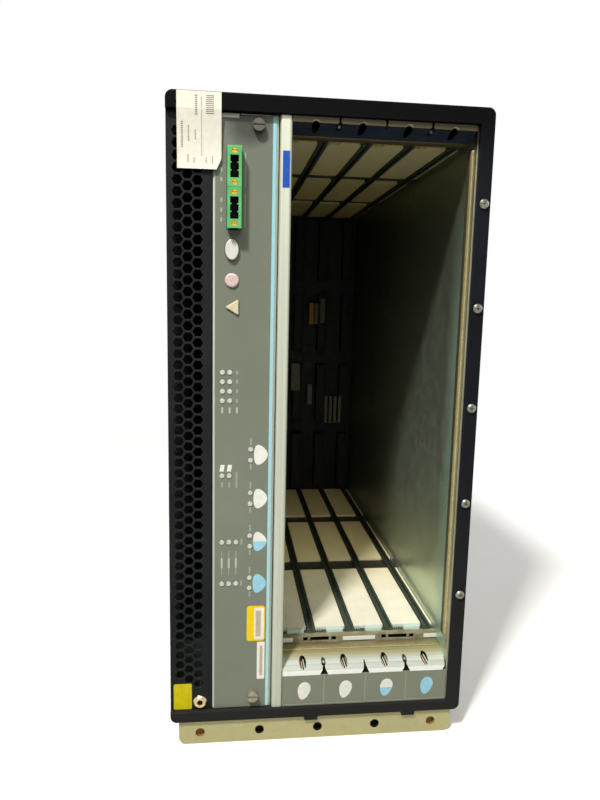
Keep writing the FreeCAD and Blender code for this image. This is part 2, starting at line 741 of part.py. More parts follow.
def base_gasket():
    """Upright gasket strip along the front of the cage base panel."""
    x = (CAGE_RIGHT - GASKET_THICKNESS, CAGE_RIGHT)
    z = (FLOOR + GASKET_END_MARGIN, CEILING - GASKET_END_MARGIN)
    return box(x, (GASKET_FRONT, GASKET_FRONT + GASKET_WIDTH), z)


def slot_gaskets():
    """Gasket strips on the two slot rails, behind their sloped faces."""
    y = (RAIL_DEPTH - GASKET_WIDTH, RAIL_DEPTH)
    low = FLOOR - FAN_RAIL_STEP
    high = CEILING - FILTER_RAIL_STEP
    x = (CAGE_LEFT, CAGE_RIGHT)
    return [box(x, y, (low, low + GASKET_THICKNESS)), box(x, y, (high - GASKET_THICKNESS, high))]


def midplane():
    """Circuit board that closes the back of the card cage."""
    return box((CAGE_LEFT, CAGE_RIGHT), (CAGE_DEPTH, CAGE_BACK), (FLOOR, CEILING))


def slot_connectors():
    """Columns of connectors on the midplane, each with its right edge in line with a guide's groove."""
    usable = CEILING - FLOOR
    pitch = usable / SLOT_CONNECTORS
    length = pitch * SLOT_CONNECTOR_FILL
    connectors = []
    for slot in range(SLOTS):
        x = guide_middle(slot) + (GUIDE_GROOVE - SLOT_CONNECTOR_WIDTH) / 2
        for row in range(SLOT_CONNECTORS):
            z = FLOOR + (row + 0.5) * pitch
            half = (SLOT_CONNECTOR_WIDTH / 2, length / 2)
            front = CAGE_DEPTH - SLOT_CONNECTOR_DEPTH
            shell = box((x - half[0], x + half[0]), (front, CAGE_DEPTH), (z - half[1], z + half[1]))
            wall = SLOT_CONNECTOR_WALL
            hollow_x = (x - half[0] + wall, x + half[0] - wall)
            hollow_z = (z - half[1] + wall, z + half[1] - wall)
            connectors.append(shell.cut(box(hollow_x, (front, front + SLOT_CONNECTOR_RECESS), hollow_z)))
    return connectors


def bezel_screw_places():
    """X and Z of the screws on the bezel's right bar."""
    middle = (FLOOR + CEILING) / 2
    first = middle - (BEZEL_SCREW_COUNT - 1) * BEZEL_SCREW_PITCH / 2
    x = RIGHT - BEZEL_SCREW_INSET
    return [(x, first + index * BEZEL_SCREW_PITCH) for index in range(BEZEL_SCREW_COUNT)]


def front_bezel():
    """Frame round the front, open to the left, with a ledge that carries the grille and the craft panel."""
    frame = box((LEFT, RIGHT), (0, BEZEL_DEPTH), (BEZEL_BOTTOM, BEZEL_TOP))
    frame = frame.makeFillet(BEZEL_CORNER, edges_along(frame, Y_AXIS, everywhere))
    front_edges = [edge for edge in frame.Edges if edge.BoundBox.YMax < TOUCH_GAP]
    frame = frame.makeFillet(BEZEL_EDGE, front_edges)
    recess = box((LEFT, RIM_RIGHT), (0, LEDGE_Y), (RIM_BOTTOM, RIM_TOP))
    ledge_z = (RIM_BOTTOM + BEZEL_END_LEDGE, RIM_TOP - BEZEL_END_LEDGE)
    split = NOSE_LEFT - CRAFT_SEAM / 2
    plenum = box((LEFT + BEZEL_LEFT_LEDGE, split), (LEDGE_Y, BEZEL_DEPTH), ledge_z)
    cage = box((split, RIM_RIGHT), (LEDGE_Y, BEZEL_DEPTH), (RIM_BOTTOM, RIM_TOP))
    wide, deep, high = BEZEL_TAB_SIZE
    tabs = []
    for x in BEZEL_TAB_PLACES:
        tab_x = (x - wide / 2, x + wide / 2)
        root = BEZEL_BOTTOM + BEZEL_EDGE
        tabs.append(box(tab_x, (EAR_SETBACK - deep, EAR_SETBACK), (BEZEL_BOTTOM - high, root)))
    clear = BEZEL_SCREW_RADIUS + SCREW_CLEARANCE
    holes = [rod(x, z, clear, (0, BEZEL_DEPTH)) for x, z in bezel_screw_places()]
    captive = CAPTIVE_SHANK_RADIUS + SCREW_CLEARANCE
    holes += [rod(x, z, captive, (LEDGE_Y, BEZEL_DEPTH)) for x, z in captive_places()]
    jack_x, jack_z = jack_place()
    holes.append(rod(jack_x, jack_z, JACK_BARREL_RADIUS + SCREW_CLEARANCE, (LEDGE_Y, BEZEL_DEPTH)))
    return frame.cut([recess, plenum, cage]).fuse(tabs).cut(holes)


def bezel_screws():
    """Pan-head screws that hold the bezel to the flange of the cage base panel."""
    end = BEZEL_DEPTH + BASE_PANEL_SHEET
    screws = []
    for x, z in bezel_screw_places():
        head = rod(x, z, BEZEL_SCREW_HEAD_RADIUS, (-BEZEL_SCREW_HEAD_HEIGHT, 0))
        rim = [edge for edge in head.Edges if edge.BoundBox.YMax < TOUCH_GAP - BEZEL_SCREW_HEAD_HEIGHT]
        head = head.makeChamfer(BEZEL_SCREW_HEAD_HEIGHT / 2, rim)
        screws.append(head.fuse(rod(x, z, BEZEL_SCREW_RADIUS, (0, end))).removeSplitter())
    return screws


def jack_place():
    """X and Z of the wrist-strap jack."""
    return GRILLE_RIGHT - JACK_INSET, PLATE_BOTTOM + JACK_RISE


def hexagon(x, z):
    """Closed hexagon with flats above and below, on the grille's face."""
    reach = GRILLE_HOLE_FLATS / math.sqrt(3)
    points = []
    for corner in range(7):
        turn = math.radians(60 * corner)
        points.append(FreeCAD.Vector(x + reach * math.cos(turn), PLATE_FACE, z + reach * math.sin(turn)))
    return Part.makePolygon(points)


def intake_grille():
    """Plate with staggered columns of hexagonal holes and a plain lower end for the jack."""
    spacing = GRILLE_PITCH * math.sqrt(3) / 2
    left = LEFT + GRILLE_MARGIN
    columns = int((GRILLE_RIGHT - GRILLE_MARGIN - left) / spacing + 1)
    wires = []
    for column in range(columns):
        x = left + column * spacing
        z = PLATE_BOTTOM + GRILLE_BLANK_BOTTOM + (columns - 1 - column) * GRILLE_PITCH / 2
        while z + GRILLE_PITCH / 2 < PLATE_TOP - GRILLE_BLANK_TOP:
            wires.append(hexagon(x, z))
            z += GRILLE_PITCH
    low, high = PLATE_BOTTOM, PLATE_TOP
    corners = [(LEFT, low), (GRILLE_RIGHT, low), (GRILLE_RIGHT, high), (LEFT, high)]
    outline = [FreeCAD.Vector(x, PLATE_FACE, z) for x, z in corners]
    face = Part.makeFace([Part.makePolygon(outline + [outline[0]])] + wires, "Part::FaceMakerBullseye")
    plate = face.extrude(FreeCAD.Vector(0, PLATE_SHEET, 0))
    x, z = jack_place()
    return plate.cut(rod(x, z, JACK_BARREL_RADIUS + SCREW_CLEARANCE, (PLATE_FACE, LEDGE_Y)))


def esd_jack():
    """Flanged round jack with a blind bore for a wrist-strap plug."""
    x, z = jack_place()
    front = PLATE_FACE - JACK_FLANGE_HEIGHT
    flange = rod(x, z, JACK_FLANGE_RADIUS, (front, PLATE_FACE))
    rim = [edge for edge in flange.Edges if edge.BoundBox.YMax < front + TOUCH_GAP]
    flange = flange.makeChamfer(JACK_FLANGE_HEIGHT / 2, rim)
    barrel = rod(x, z, JACK_BARREL_RADIUS, (PLATE_FACE, front + JACK_LENGTH))
    bore = rod(x, z, JACK_BORE_RADIUS, (front, front + JACK_BORE_DEPTH))
    return flange.fuse(barrel).removeSplitter().cut(bore)


def captive_places():
    """X and Z of the craft panel's captive screws."""
    x = CRAFT_RIGHT - CAPTIVE_FROM_RIGHT
    low, high = CAPTIVE_INSETS
    return [(x, PLATE_BOTTOM + low), (x, PLATE_TOP - high)]


def connector_limits():
    """X limits of the alarm connectors and the Z limits of each."""
    middle = CRAFT_LEFT + CONNECTOR_ACROSS
    x = (middle - CONNECTOR_WIDTH / 2, middle + CONNECTOR_WIDTH / 2)
    first = PLATE_TOP - CONNECTOR_FROM_TOP
    places = [first - index * CONNECTOR_PITCH for index in range(2)]
    return x, [(place - CONNECTOR_HEIGHT / 2, place + CONNECTOR_HEIGHT / 2) for place in places]


def lamp_places():
    """X and Z of every status lamp on the craft panel."""
    columns = [CRAFT_LEFT + across for across in LAMP_COLUMNS]
    places = []
    for row in range(LAMP_GRID_ROWS):
        z = PLATE_BOTTOM + LAMP_GRID_RISE + row * LAMP_GRID_PITCH
        places += [(x, z) for x in columns[:2]]
    places += [(x, PLATE_BOTTOM + LAMP_FAN_RISE) for x in columns[:2]]
    for rise in LAMP_HOST_RISES:
        places += [(x, PLATE_BOTTOM + rise) for x in columns]
    for slot in range(SLOTS):
        z = PLATE_BOTTOM + LAMP_SLOT_RISE + slot * LAMP_SLOT_PITCH
        places += [(CRAFT_LEFT + LAMP_SLOT_ACROSS, z + side * LAMP_SLOT_SPREAD) for side in (-1, 1)]
    return places


def oval(x, z, size, y):
    """Elliptical bar along Y; size is its width and height."""
    centre = FreeCAD.Vector(x, y[0], z)
    upper = FreeCAD.Vector(x, y[0], z + size[1] / 2)
    side = FreeCAD.Vector(x + size[0] / 2, y[0], z)
    rim = Part.Wire(Part.Ellipse(upper, side, centre).toShape())
    return Part.Face(rim).extrude(FreeCAD.Vector(0, y[1] - y[0], 0))


def button_place():
    """X and Z of the alarm cut-off button."""
    return CRAFT_LEFT + BUTTON_ACROSS, PLATE_TOP - BUTTON_FROM_TOP


def round_lens_place():
    """X and Z of the round alarm lens."""
    return CRAFT_LEFT + LENS_ACROSS, PLATE_TOP - ROUND_LENS_FROM_TOP


def triangle(gap, y):
    """Triangular bar along Y that points to the left, grown by a gap."""
    x = CRAFT_LEFT + LENS_ACROSS
    z = PLATE_TOP - TRIANGLE_LENS_FROM_TOP
    wide, high = TRIANGLE_LENS_SIZE
    slope = math.hypot(wide, high / 2)
    point = gap * slope / (high / 2)
    spread = gap * (slope + high / 2) / wide
    corners = [
        (x - wide / 2 - point, z),
        (x + wide / 2 + gap, z + high / 2 + spread),
        (x + wide / 2 + gap, z - high / 2 - spread),
    ]
    bar = along_y(corners, y)
    return bar.makeFillet(TRIANGLE_LENS_CORNER, edges_along(bar, Y_AXIS, everywhere))


def standoff_places():
    """X and Z of the posts that carry the craft circuit board."""
    inset = BOARD_MARGIN + 2 * STANDOFF_RADIUS
    rise = BOARD_END_MARGIN + 2 * STANDOFF_RADIUS
    columns = (CRAFT_LEFT + inset, CRAFT_RIGHT - inset)
    return [(x, z) for x in columns for z in (PLATE_BOTTOM + rise, PLATE_TOP - rise)]


def craft_panel():
    """Operator panel with its cut-outs, bevelled long edges and board posts."""
    y = (PLATE_FACE, LEDGE_Y)
    plate = box((CRAFT_LEFT, CRAFT_RIGHT), y, (PLATE_BOTTOM, PLATE_TOP))

    def on_face(point):
        return abs(point.y - PLATE_FACE) < TOUCH_GAP

    plate = plate.makeChamfer(CRAFT_BEVEL, edges_along(plate, Z_AXIS, on_face))
    x, limits = connector_limits()
    gap = CRAFT_CUT_GAP
    cuts = [box((x[0] - gap, x[1] + gap), y, (limits[-1][0] - gap, limits[0][1] + gap))]
    wide, high = BUTTON_SIZE
    cuts.append(oval(*button_place(), (wide + 2 * gap, high + 2 * gap), y))
    cuts.append(rod(*round_lens_place(), ROUND_LENS_RADIUS + LAMP_GAP, y))
    cuts.append(triangle(LAMP_GAP, y))
    cuts += [rod(px, pz, LAMP_RADIUS + LAMP_GAP, y) for px, pz in lamp_places()]
    cuts += [rod(px, pz, CAPTIVE_SHANK_RADIUS + SCREW_CLEARANCE, y) for px, pz in captive_places()]
    posts = [rod(px, pz, STANDOFF_RADIUS, (LEDGE_Y, BOARD_FRONT)) for px, pz in standoff_places()]
    return plate.cut(cuts).fuse(posts).removeSplitter()


def craft_board():
    """Circuit board behind the craft panel, with the cut-off button's switch soldered on."""
    y = (BOARD_FRONT, BOARD_FRONT + BOARD_SHEET)
    board_x = (CRAFT_LEFT + BOARD_MARGIN, CRAFT_RIGHT - BOARD_MARGIN)
    board = box(board_x, y, (PLATE_BOTTOM + BOARD_END_MARGIN, PLATE_TOP - BOARD_END_MARGIN))
    x, z = button_place()
    half = SWITCH_SIZE / 2
    front = LEDGE_Y + TOUCH_GAP + BUTTON_FLANGE_HEIGHT + BUTTON_TRAVEL + TOUCH_GAP
    switch = box((x - half, x + half), (front, BOARD_FRONT), (z - half, z + half))
    well = rod(x, z, BUTTON_STEM_RADIUS + TOUCH_GAP, (front, BOARD_FRONT))
    return board.fuse(switch.cut(well)).removeSplitter()


def alarm_connectors():
    """Two three-pole terminal blocks: sockets joined by a channel, and a screw well at each end."""
    x, limits = connector_limits()
    middle = (x[0] + x[1]) / 2
    front = PLATE_FACE - CONNECTOR_PROUD
    wide, deep, high = CONNECTOR_SOCKET
    blocks = []
    for low, top in limits:
        block = box(x, (front, BOARD_FRONT), (low, top))
        centre = (low + top) / 2
        cuts = []
        for pole in range(CONNECTOR_POLES):
            z = centre + (pole - (CONNECTOR_POLES - 1) / 2) * CONNECTOR_POLE_PITCH
            socket_z = (z - high / 2, z + high / 2)
            cuts.append(box((middle - wide / 2, middle + wide / 2), (front, front + deep), socket_z))
        reach = (CONNECTOR_POLES - 1) * CONNECTOR_POLE_PITCH / 2
        channel_x = (middle - CONNECTOR_CHANNEL / 2, middle + CONNECTOR_CHANNEL / 2)
        cuts.append(box(channel_x, (front, front + deep), (centre - reach, centre + reach)))
        for end in (low + CONNECTOR_SCREW_INSET, top - CONNECTOR_SCREW_INSET):
            well = (front, front + CONNECTOR_SCREW_HEIGHT)
            cuts.append(rod(middle, end, CONNECTOR_SCREW_RADIUS + LAMP_GAP, well))
        blocks.append(block.cut(cuts))
    return blocks


def alarm_connector_screws():
    """Slotted screws in the wells of the alarm connectors."""
    x, limits = connector_limits()
    middle = (x[0] + x[1]) / 2
    front = PLATE_FACE - CONNECTOR_PROUD + SCREW_CLEARANCE
    seat = PLATE_FACE - CONNECTOR_PROUD + CONNECTOR_SCREW_HEIGHT
    width, depth = CAPTIVE_SLOT
    screws = []
    for low, top in limits:
        for z in (low + CONNECTOR_SCREW_INSET, top - CONNECTOR_SCREW_INSET):
            head = rod(middle, z, CONNECTOR_SCREW_RADIUS, (front, seat))
            reach = (middle - CONNECTOR_SCREW_RADIUS, middle + CONNECTOR_SCREW_RADIUS)
            screws.append(head.cut(box(reach, (front, front + depth), (z - width / 2, z + width / 2))))
    return screws


def cutoff_button():
    """Oval push button with a domed edge, a keeper flange behind the panel and a stem into its switch."""
    x, z = button_place()
    wide, high = BUTTON_SIZE
    front = PLATE_FACE - BUTTON_PROUD
    flange_y = LEDGE_Y + TOUCH_GAP
    cap = oval(x, z, BUTTON_SIZE, (front, flange_y))
    rim = [edge for edge in cap.Edges if edge.BoundBox.YMax < front + TOUCH_GAP]
    cap = cap.makeFillet(BUTTON_PROUD / 3, rim)
    grown = (wide + 2 * BUTTON_FLANGE, high + 2 * BUTTON_FLANGE)
    flange = oval(x, z, grown, (flange_y, flange_y + BUTTON_FLANGE_HEIGHT))
    stem_end = BOARD_FRONT - BUTTON_TRAVEL - TOUCH_GAP
    stem = rod(x, z, BUTTON_STEM_RADIUS, (flange_y + BUTTON_FLANGE_HEIGHT, stem_end))
    return cap.fuse([flange, stem]).removeSplitter()


def round_lens():
    """Domed round lens whose light pipe stands on the craft board."""
    x, z = round_lens_place()
    front = PLATE_FACE - LENS_PROUD
    lens = rod(x, z, ROUND_LENS_RADIUS, (front, BOARD_FRONT))
    rim = [edge for edge in lens.Edges if edge.BoundBox.YMax < front + TOUCH_GAP]
    return lens.makeFillet(LENS_PROUD * 0.9, rim)


def triangle_lens():
    """Triangular lens whose light pipe stands on the craft board."""
    front = PLATE_FACE - LENS_PROUD
    lens = triangle(0, (front, BOARD_FRONT))
    rim = [edge for edge in lens.Edges if edge.BoundBox.YMax < front + TOUCH_GAP]
    return lens.makeChamfer(LENS_PROUD / 3, rim)


def status_lamps():
    """Small round light pipes from the craft board to the panel's face."""
    return [rod(x, z, LAMP_RADIUS, (PLATE_FACE - LAMP_PROUD, BOARD_FRONT)) for x, z in lamp_places()]


def craft_captive_screws():
    """Slotted captive screws at both ends of the craft panel."""
    head_y = (PLATE_FACE - CAPTIVE_HEAD_HEIGHT, PLATE_FACE)
    shank = (CAPTIVE_SHANK_RADIUS, BEZEL_DEPTH)
    return [slotted_head(x, z, CAPTIVE_HEAD_RADIUS, head_y, CAPTIVE_SLOT, shank) for x, z in captive_places()]


def rack_ear():
    """Angle bracket with the rack bolt holes in its flange; its leg steps up behind the bezel to the wall."""
    half = EAR_WIDTH / 2
    flange_y = (EAR_SETBACK, EAR_SETBACK + EAR_SHEET)
    step = BEZEL_DEPTH + TOUCH_GAP
    end = BEZEL_DEPTH + EAR_LEG_DEPTH
    profile = [
        (flange_y[0], 0),
        (flange_y[0], BEZEL_BOTTOM),
        (step, BEZEL_BOTTOM),
        (step, BOTTOM),
        (end, BOTTOM),
        (end, BOTTOM - EAR_SHEET),
        (step + EAR_SHEET, BOTTOM - EAR_SHEET),
        (step + EAR_SHEET, BEZEL_BOTTOM - EAR_SHEET),
        (flange_y[1], BEZEL_BOTTOM - EAR_SHEET),
        (flange_y[1], 0),
    ]
    ear = along_x(profile, (-half, half))

    def at_bottom(point):
        return point.z < TOUCH_GAP

    ear = ear.makeFillet(EAR_CORNER, edges_along(ear, Y_AXIS, at_bottom))
    first = -(EAR_HOLE_COUNT - 1) * EAR_HOLE_PITCH / 2
    holes = []
    for index in range(EAR_HOLE_COUNT):
        holes.append(rod(first + index * EAR_HOLE_PITCH, EAR_HOLE_HEIGHT, EAR_HOLE_RADIUS, flange_y))
    for x, y in ear_screw_places():
        holes.append(post(x, y, EAR_SCREW_RADIUS + SCREW_CLEARANCE, (BOTTOM - EAR_SHEET, BOTTOM)))
    return ear.cut(holes)


def ear_screws():
    """Pan-head screws through the ear's leg into the fan-side wall."""
    seat = BOTTOM - EAR_SHEET
    screws = []
    for x, y in ear_screw_places():
        head = post(x, y, EAR_SCREW_HEAD_RADIUS, (seat - EAR_SCREW_HEAD_HEIGHT, seat))
        rim = [edge for edge in head.Edges if edge.BoundBox.ZMax < seat - EAR_SCREW_HEAD_HEIGHT + TOUCH_GAP]
        head = head.makeChamfer(EAR_SCREW_HEAD_HEIGHT / 2, rim)
        screws.append(head.fuse(post(x, y, EAR_SCREW_RADIUS, (seat, IN_BOTTOM))).removeSplitter())
    return screws


def fan_centres():
    """Y of each fan, under the middle of its row of vent screens."""
    return [(front + back) / 2 for front, back in vent_rows()]


def fan_tray_pan():
    """Folded tray with a flange along both sides and a round opening under each fan."""
    base_z = (TRAY_BOTTOM, TRAY_BOTTOM + SHEET)
    y = (TRAY_FRONT, BODY_DEPTH)
    pan = box((-TRAY_HALF, TRAY_HALF), y, base_z)
    flanges = []
    for side in (-1, 1):
        edges = sorted((side * TRAY_HALF, side * (TRAY_HALF - SHEET)))
        flanges.append(box(edges, y, (base_z[0], base_z[0] + TRAY_FLANGE)))
    openings = [post(FAN_X, centre, FAN_BORE_RADIUS, base_z) for centre in fan_centres()]
    return pan.fuse(flanges).removeSplitter().cut(openings)


def face_plate(z, holes):
    """Flat plate on the rear of the chassis with holes for thumbscrews."""
    y = (BODY_DEPTH, FACE_BACK)
    plate = box((IN_LEFT, IN_RIGHT), y, z)
    return plate.cut([thumb_hole(px, pz, y) for px, pz in holes])


def fan_tray_face():
    """Rear face of the fan tray."""
    return face_plate((IN_BOTTOM, FLOOR - MODULE_FACE_GAP), tray_thumb_places())


def handle(z):
    """Bent round bar across a rear face."""
    half = HANDLE_LENGTH / 2
    back = REAR_MOST - HANDLE_BAR_RADIUS
    bend = HANDLE_BEND
    corner = bend * (1 - math.sqrt(0.5))
    points = {
        "foot_left": (-half, FACE_BACK),
        "rise_left": (-half, back - bend),
        "mid_left": (-half + corner, back - corner),
        "bar_left": (-half + bend, back),
        "bar_right": (half - bend, back),
        "mid_right": (half - corner, back - corner),
        "rise_right": (half, back - bend),
        "foot_right": (half, FACE_BACK),
    }
    at = {name: FreeCAD.Vector(x, y, z) for name, (x, y) in points.items()}
    path = Part.Wire([
        Part.LineSegment(at["foot_left"], at["rise_left"]).toShape(),
        Part.Arc(at["rise_left"], at["mid_left"], at["bar_left"]).toShape(),
        Part.LineSegment(at["bar_left"], at["bar_right"]).toShape(),
        Part.Arc(at["bar_right"], at["mid_right"], at["rise_right"]).toShape(),
        Part.LineSegment(at["rise_right"], at["foot_right"]).toShape(),
    ])
    section = Part.Wire(Part.Circle(at["foot_left"], Y_AXIS, HANDLE_BAR_RADIUS).toShape())
    return path.makePipeShell([section], True, False)


def fan_housing(y):
    """Square fan frame with a round throat, a motor cup on four struts and a bearing bore."""
    half = FAN_SIZE / 2
    z = (FAN_BOTTOM, FAN_BOTTOM + FAN_THICKNESS)
    frame = box((FAN_X - half, FAN_X + half), (y - half, y + half), z)
    frame = frame.makeFillet(FAN_CORNER, edges_along(frame, Z_AXIS, everywhere))
    frame = frame.cut(post(FAN_X, y, FAN_BORE_RADIUS, z))
    cup = post(FAN_X, y, FAN_MOTOR_RADIUS, (z[0], z[0] + FAN_MOTOR_HEIGHT))
    strut_z = (z[0], z[0] + FAN_STRUT_HEIGHT)
    struts = []
    for index in range(FAN_STRUTS):
        strut_y = (y - FAN_STRUT_WIDTH / 2, y + FAN_STRUT_WIDTH / 2)
        strut = box((FAN_X, FAN_X + FAN_BORE_RADIUS + FAN_STRUT_ROOT), strut_y, strut_z)
        strut.rotate(FreeCAD.Vector(FAN_X, y, 0), Z_AXIS, 360 * (index + 0.5) / FAN_STRUTS)
        struts.append(strut)
    bearing_z = (z[0] + FAN_MOTOR_HEIGHT - SHAFT_LENGTH - TOUCH_GAP, z[1])
    bearing = post(FAN_X, y, SHAFT_RADIUS + SHAFT_FIT, bearing_z)
    return frame.fuse([cup] + struts).removeSplitter().cut(bearing)


def blade_section(radius, chord, z):
    """Tilted rectangle across a fan blade at a distance from the axis."""
    turn = math.radians(BLADE_ANGLE)
    along = (math.cos(turn), math.sin(turn))
    across = (-math.sin(turn), math.cos(turn))
    points = []
    for a, b in ((-1, -1), (1, -1), (1, 1), (-1, 1)):
        y = a * chord / 2 * along[0] + b * BLADE_THICKNESS / 2 * across[0]
        rise = a * chord / 2 * along[1] + b * BLADE_THICKNESS / 2 * across[1]
        points.append(FreeCAD.Vector(radius, y, z + rise))
    return Part.makePolygon(points + [points[0]])


def fan_rotor(y):
    """Rounded hub with pitched blades and a shaft that runs in the motor cup."""
    low = FAN_BOTTOM + FAN_MOTOR_HEIGHT + HUB_GAP
    high = FAN_BOTTOM + FAN_THICKNESS - HUB_TOP_GAP
    hub = post(0, 0, HUB_RADIUS, (low, high))
    rim = [edge for edge in hub.Edges if edge.BoundBox.ZMin > high - TOUCH_GAP]
    hub = hub.makeFillet(HUB_ROUND, rim)
    tip = FAN_BORE_RADIUS - FAN_TIP_GAP
    middle = (low + high) / 2
    root = blade_section(HUB_RADIUS - BLADE_THICKNESS, BLADE_ROOT_CHORD, middle)
    end = blade_section(tip, BLADE_TIP_CHORD, middle)
    blade = Part.makeLoft([root, end], True, True).common(post(0, 0, tip, (low, high)))
    blades = []
    for index in range(BLADES):
        copy = blade.copy()
        copy.rotate(FreeCAD.Vector(0, 0, 0), Z_AXIS, 360 * index / BLADES)
        blades.append(copy)
    shaft = post(0, 0, SHAFT_RADIUS, (low - HUB_GAP - SHAFT_LENGTH, low))
    rotor = hub.fuse(blades + [shaft]).removeSplitter()
    rotor.translate(FreeCAD.Vector(FAN_X, y, 0))
    return rotor


def filter_frame():
    """Flat frame of the air filter with its rear face folded up as one piece."""
    y = (TRAY_FRONT, BODY_DEPTH)
    z = (FILTER_BOTTOM, FILTER_BOTTOM + FILTER_THICKNESS)
    frame = box((-TRAY_HALF, TRAY_HALF), y, z)
    opening = box((FILTER_BAR - TRAY_HALF, TRAY_HALF - FILTER_BAR), (y[0] + FILTER_BAR, y[1] - FILTER_BAR), z)
    face = face_plate((CEILING + SHEET + MODULE_FACE_GAP, IN_TOP), filter_thumb_places())
    return frame.cut(opening).fuse(face).removeSplitter()


def filter_media():
    """Foam pad that fills the filter frame, a little thinner than the frame."""
    x = (FILTER_BAR - TRAY_HALF, TRAY_HALF - FILTER_BAR)
    y = (TRAY_FRONT + FILTER_BAR, BODY_DEPTH - FILTER_BAR)
    recess = FILTER_MEDIA_RECESS
    return box(x, y, (FILTER_BOTTOM + recess, FILTER_BOTTOM + FILTER_THICKNESS - recess))


def power_bay_walls():
    """Sheets between the power bays."""
    walls = []
    for bay in range(1, POWER_BAYS):
        low = bay_limits(bay)[0]
        walls.append(box((IN_LEFT, IN_RIGHT), (BAY_FRONT, IN_REAR), (low - SHEET, low)))
    return walls


def bay_face(bay):
    """Rear face over a power bay."""
    low, high = bay_limits(bay)
    return face_plate((low + MODULE_FACE_GAP, high - MODULE_FACE_GAP), rear_thumb_places()[bay])


def power_module(bay):
    """Closed power module with a rear face, vent slots and a power inlet with blades."""
    low, high = bay_limits(bay)
    inset = BAY_LIP + TOUCH_GAP
    body_z = (low + inset, high - inset)
    y = (CAGE_BACK + MODULE_BACK_GAP, BODY_DEPTH)
    body = box((-MODULE_HALF_WIDTH, MODULE_HALF_WIDTH), y, body_z)
    module = body.fuse(bay_face(bay)).removeSplitter()
    middle = (low + high) / 2
    wide, high_slot, deep = MODULE_VENT_SLOT
    cuts = []
    for index in range(MODULE_VENTS):
        x = MODULE_VENT_CENTRE + (index - (MODULE_VENTS - 1) / 2) * MODULE_VENT_PITCH
        slot_z = (middle - high_slot / 2, middle + high_slot / 2)
        cuts.append(box((x - wide / 2, x + wide / 2), (FACE_BACK - deep, FACE_BACK), slot_z))
    inlet_x = (INLET_CENTRE - INLET_SIZE[0] / 2, INLET_CENTRE + INLET_SIZE[0] / 2)
    inlet_z = (middle - INLET_SIZE[1] / 2, middle + INLET_SIZE[1] / 2)
    cuts.append(box(inlet_x, (FACE_BACK - INLET_DEPTH, FACE_BACK), inlet_z))
    pins = []
    pin_wide, pin_long, pin_high = INLET_PIN
    for index in range(INLET_PINS):
        x = INLET_CENTRE + (index - (INLET_PINS - 1) / 2) * INLET_PIN_PITCH
        pin_y = (FACE_BACK - INLET_DEPTH, FACE_BACK - INLET_DEPTH + pin_long)
        pin_z = (middle - pin_high / 2, middle + pin_high / 2)
        pins.append(box((x - pin_wide / 2, x + pin_wide / 2), pin_y, pin_z))
    return module.cut(cuts).fuse(pins)


def module_screws(bay):
    """Thumbscrews of one power bay face."""
    return [thumbscrew(x, z, FACE_SHEET + SHEET) for x, z in rear_thumb_places()[bay]]


def bay_cover(bay):
    """Plain cover with one long stiffening rib over an unused power bay."""
    low, high = bay_limits(bay)
    middle = (low + high) / 2
    half = COVER_RIB_LENGTH / 2
    centre = FreeCAD.Vector(-half, FACE_BACK - COVER_RIB_RADIUS / 2, middle)
    rib = Part.makeCylinder(COVER_RIB_RADIUS, COVER_RIB_LENGTH, centre, X_AXIS)
    keep = box((-half, half), (BODY_DEPTH, FACE_BACK + COVER_RIB_RADIUS), (low, high))
    return bay_face(bay).fuse(rib.common(keep)).removeSplitter()


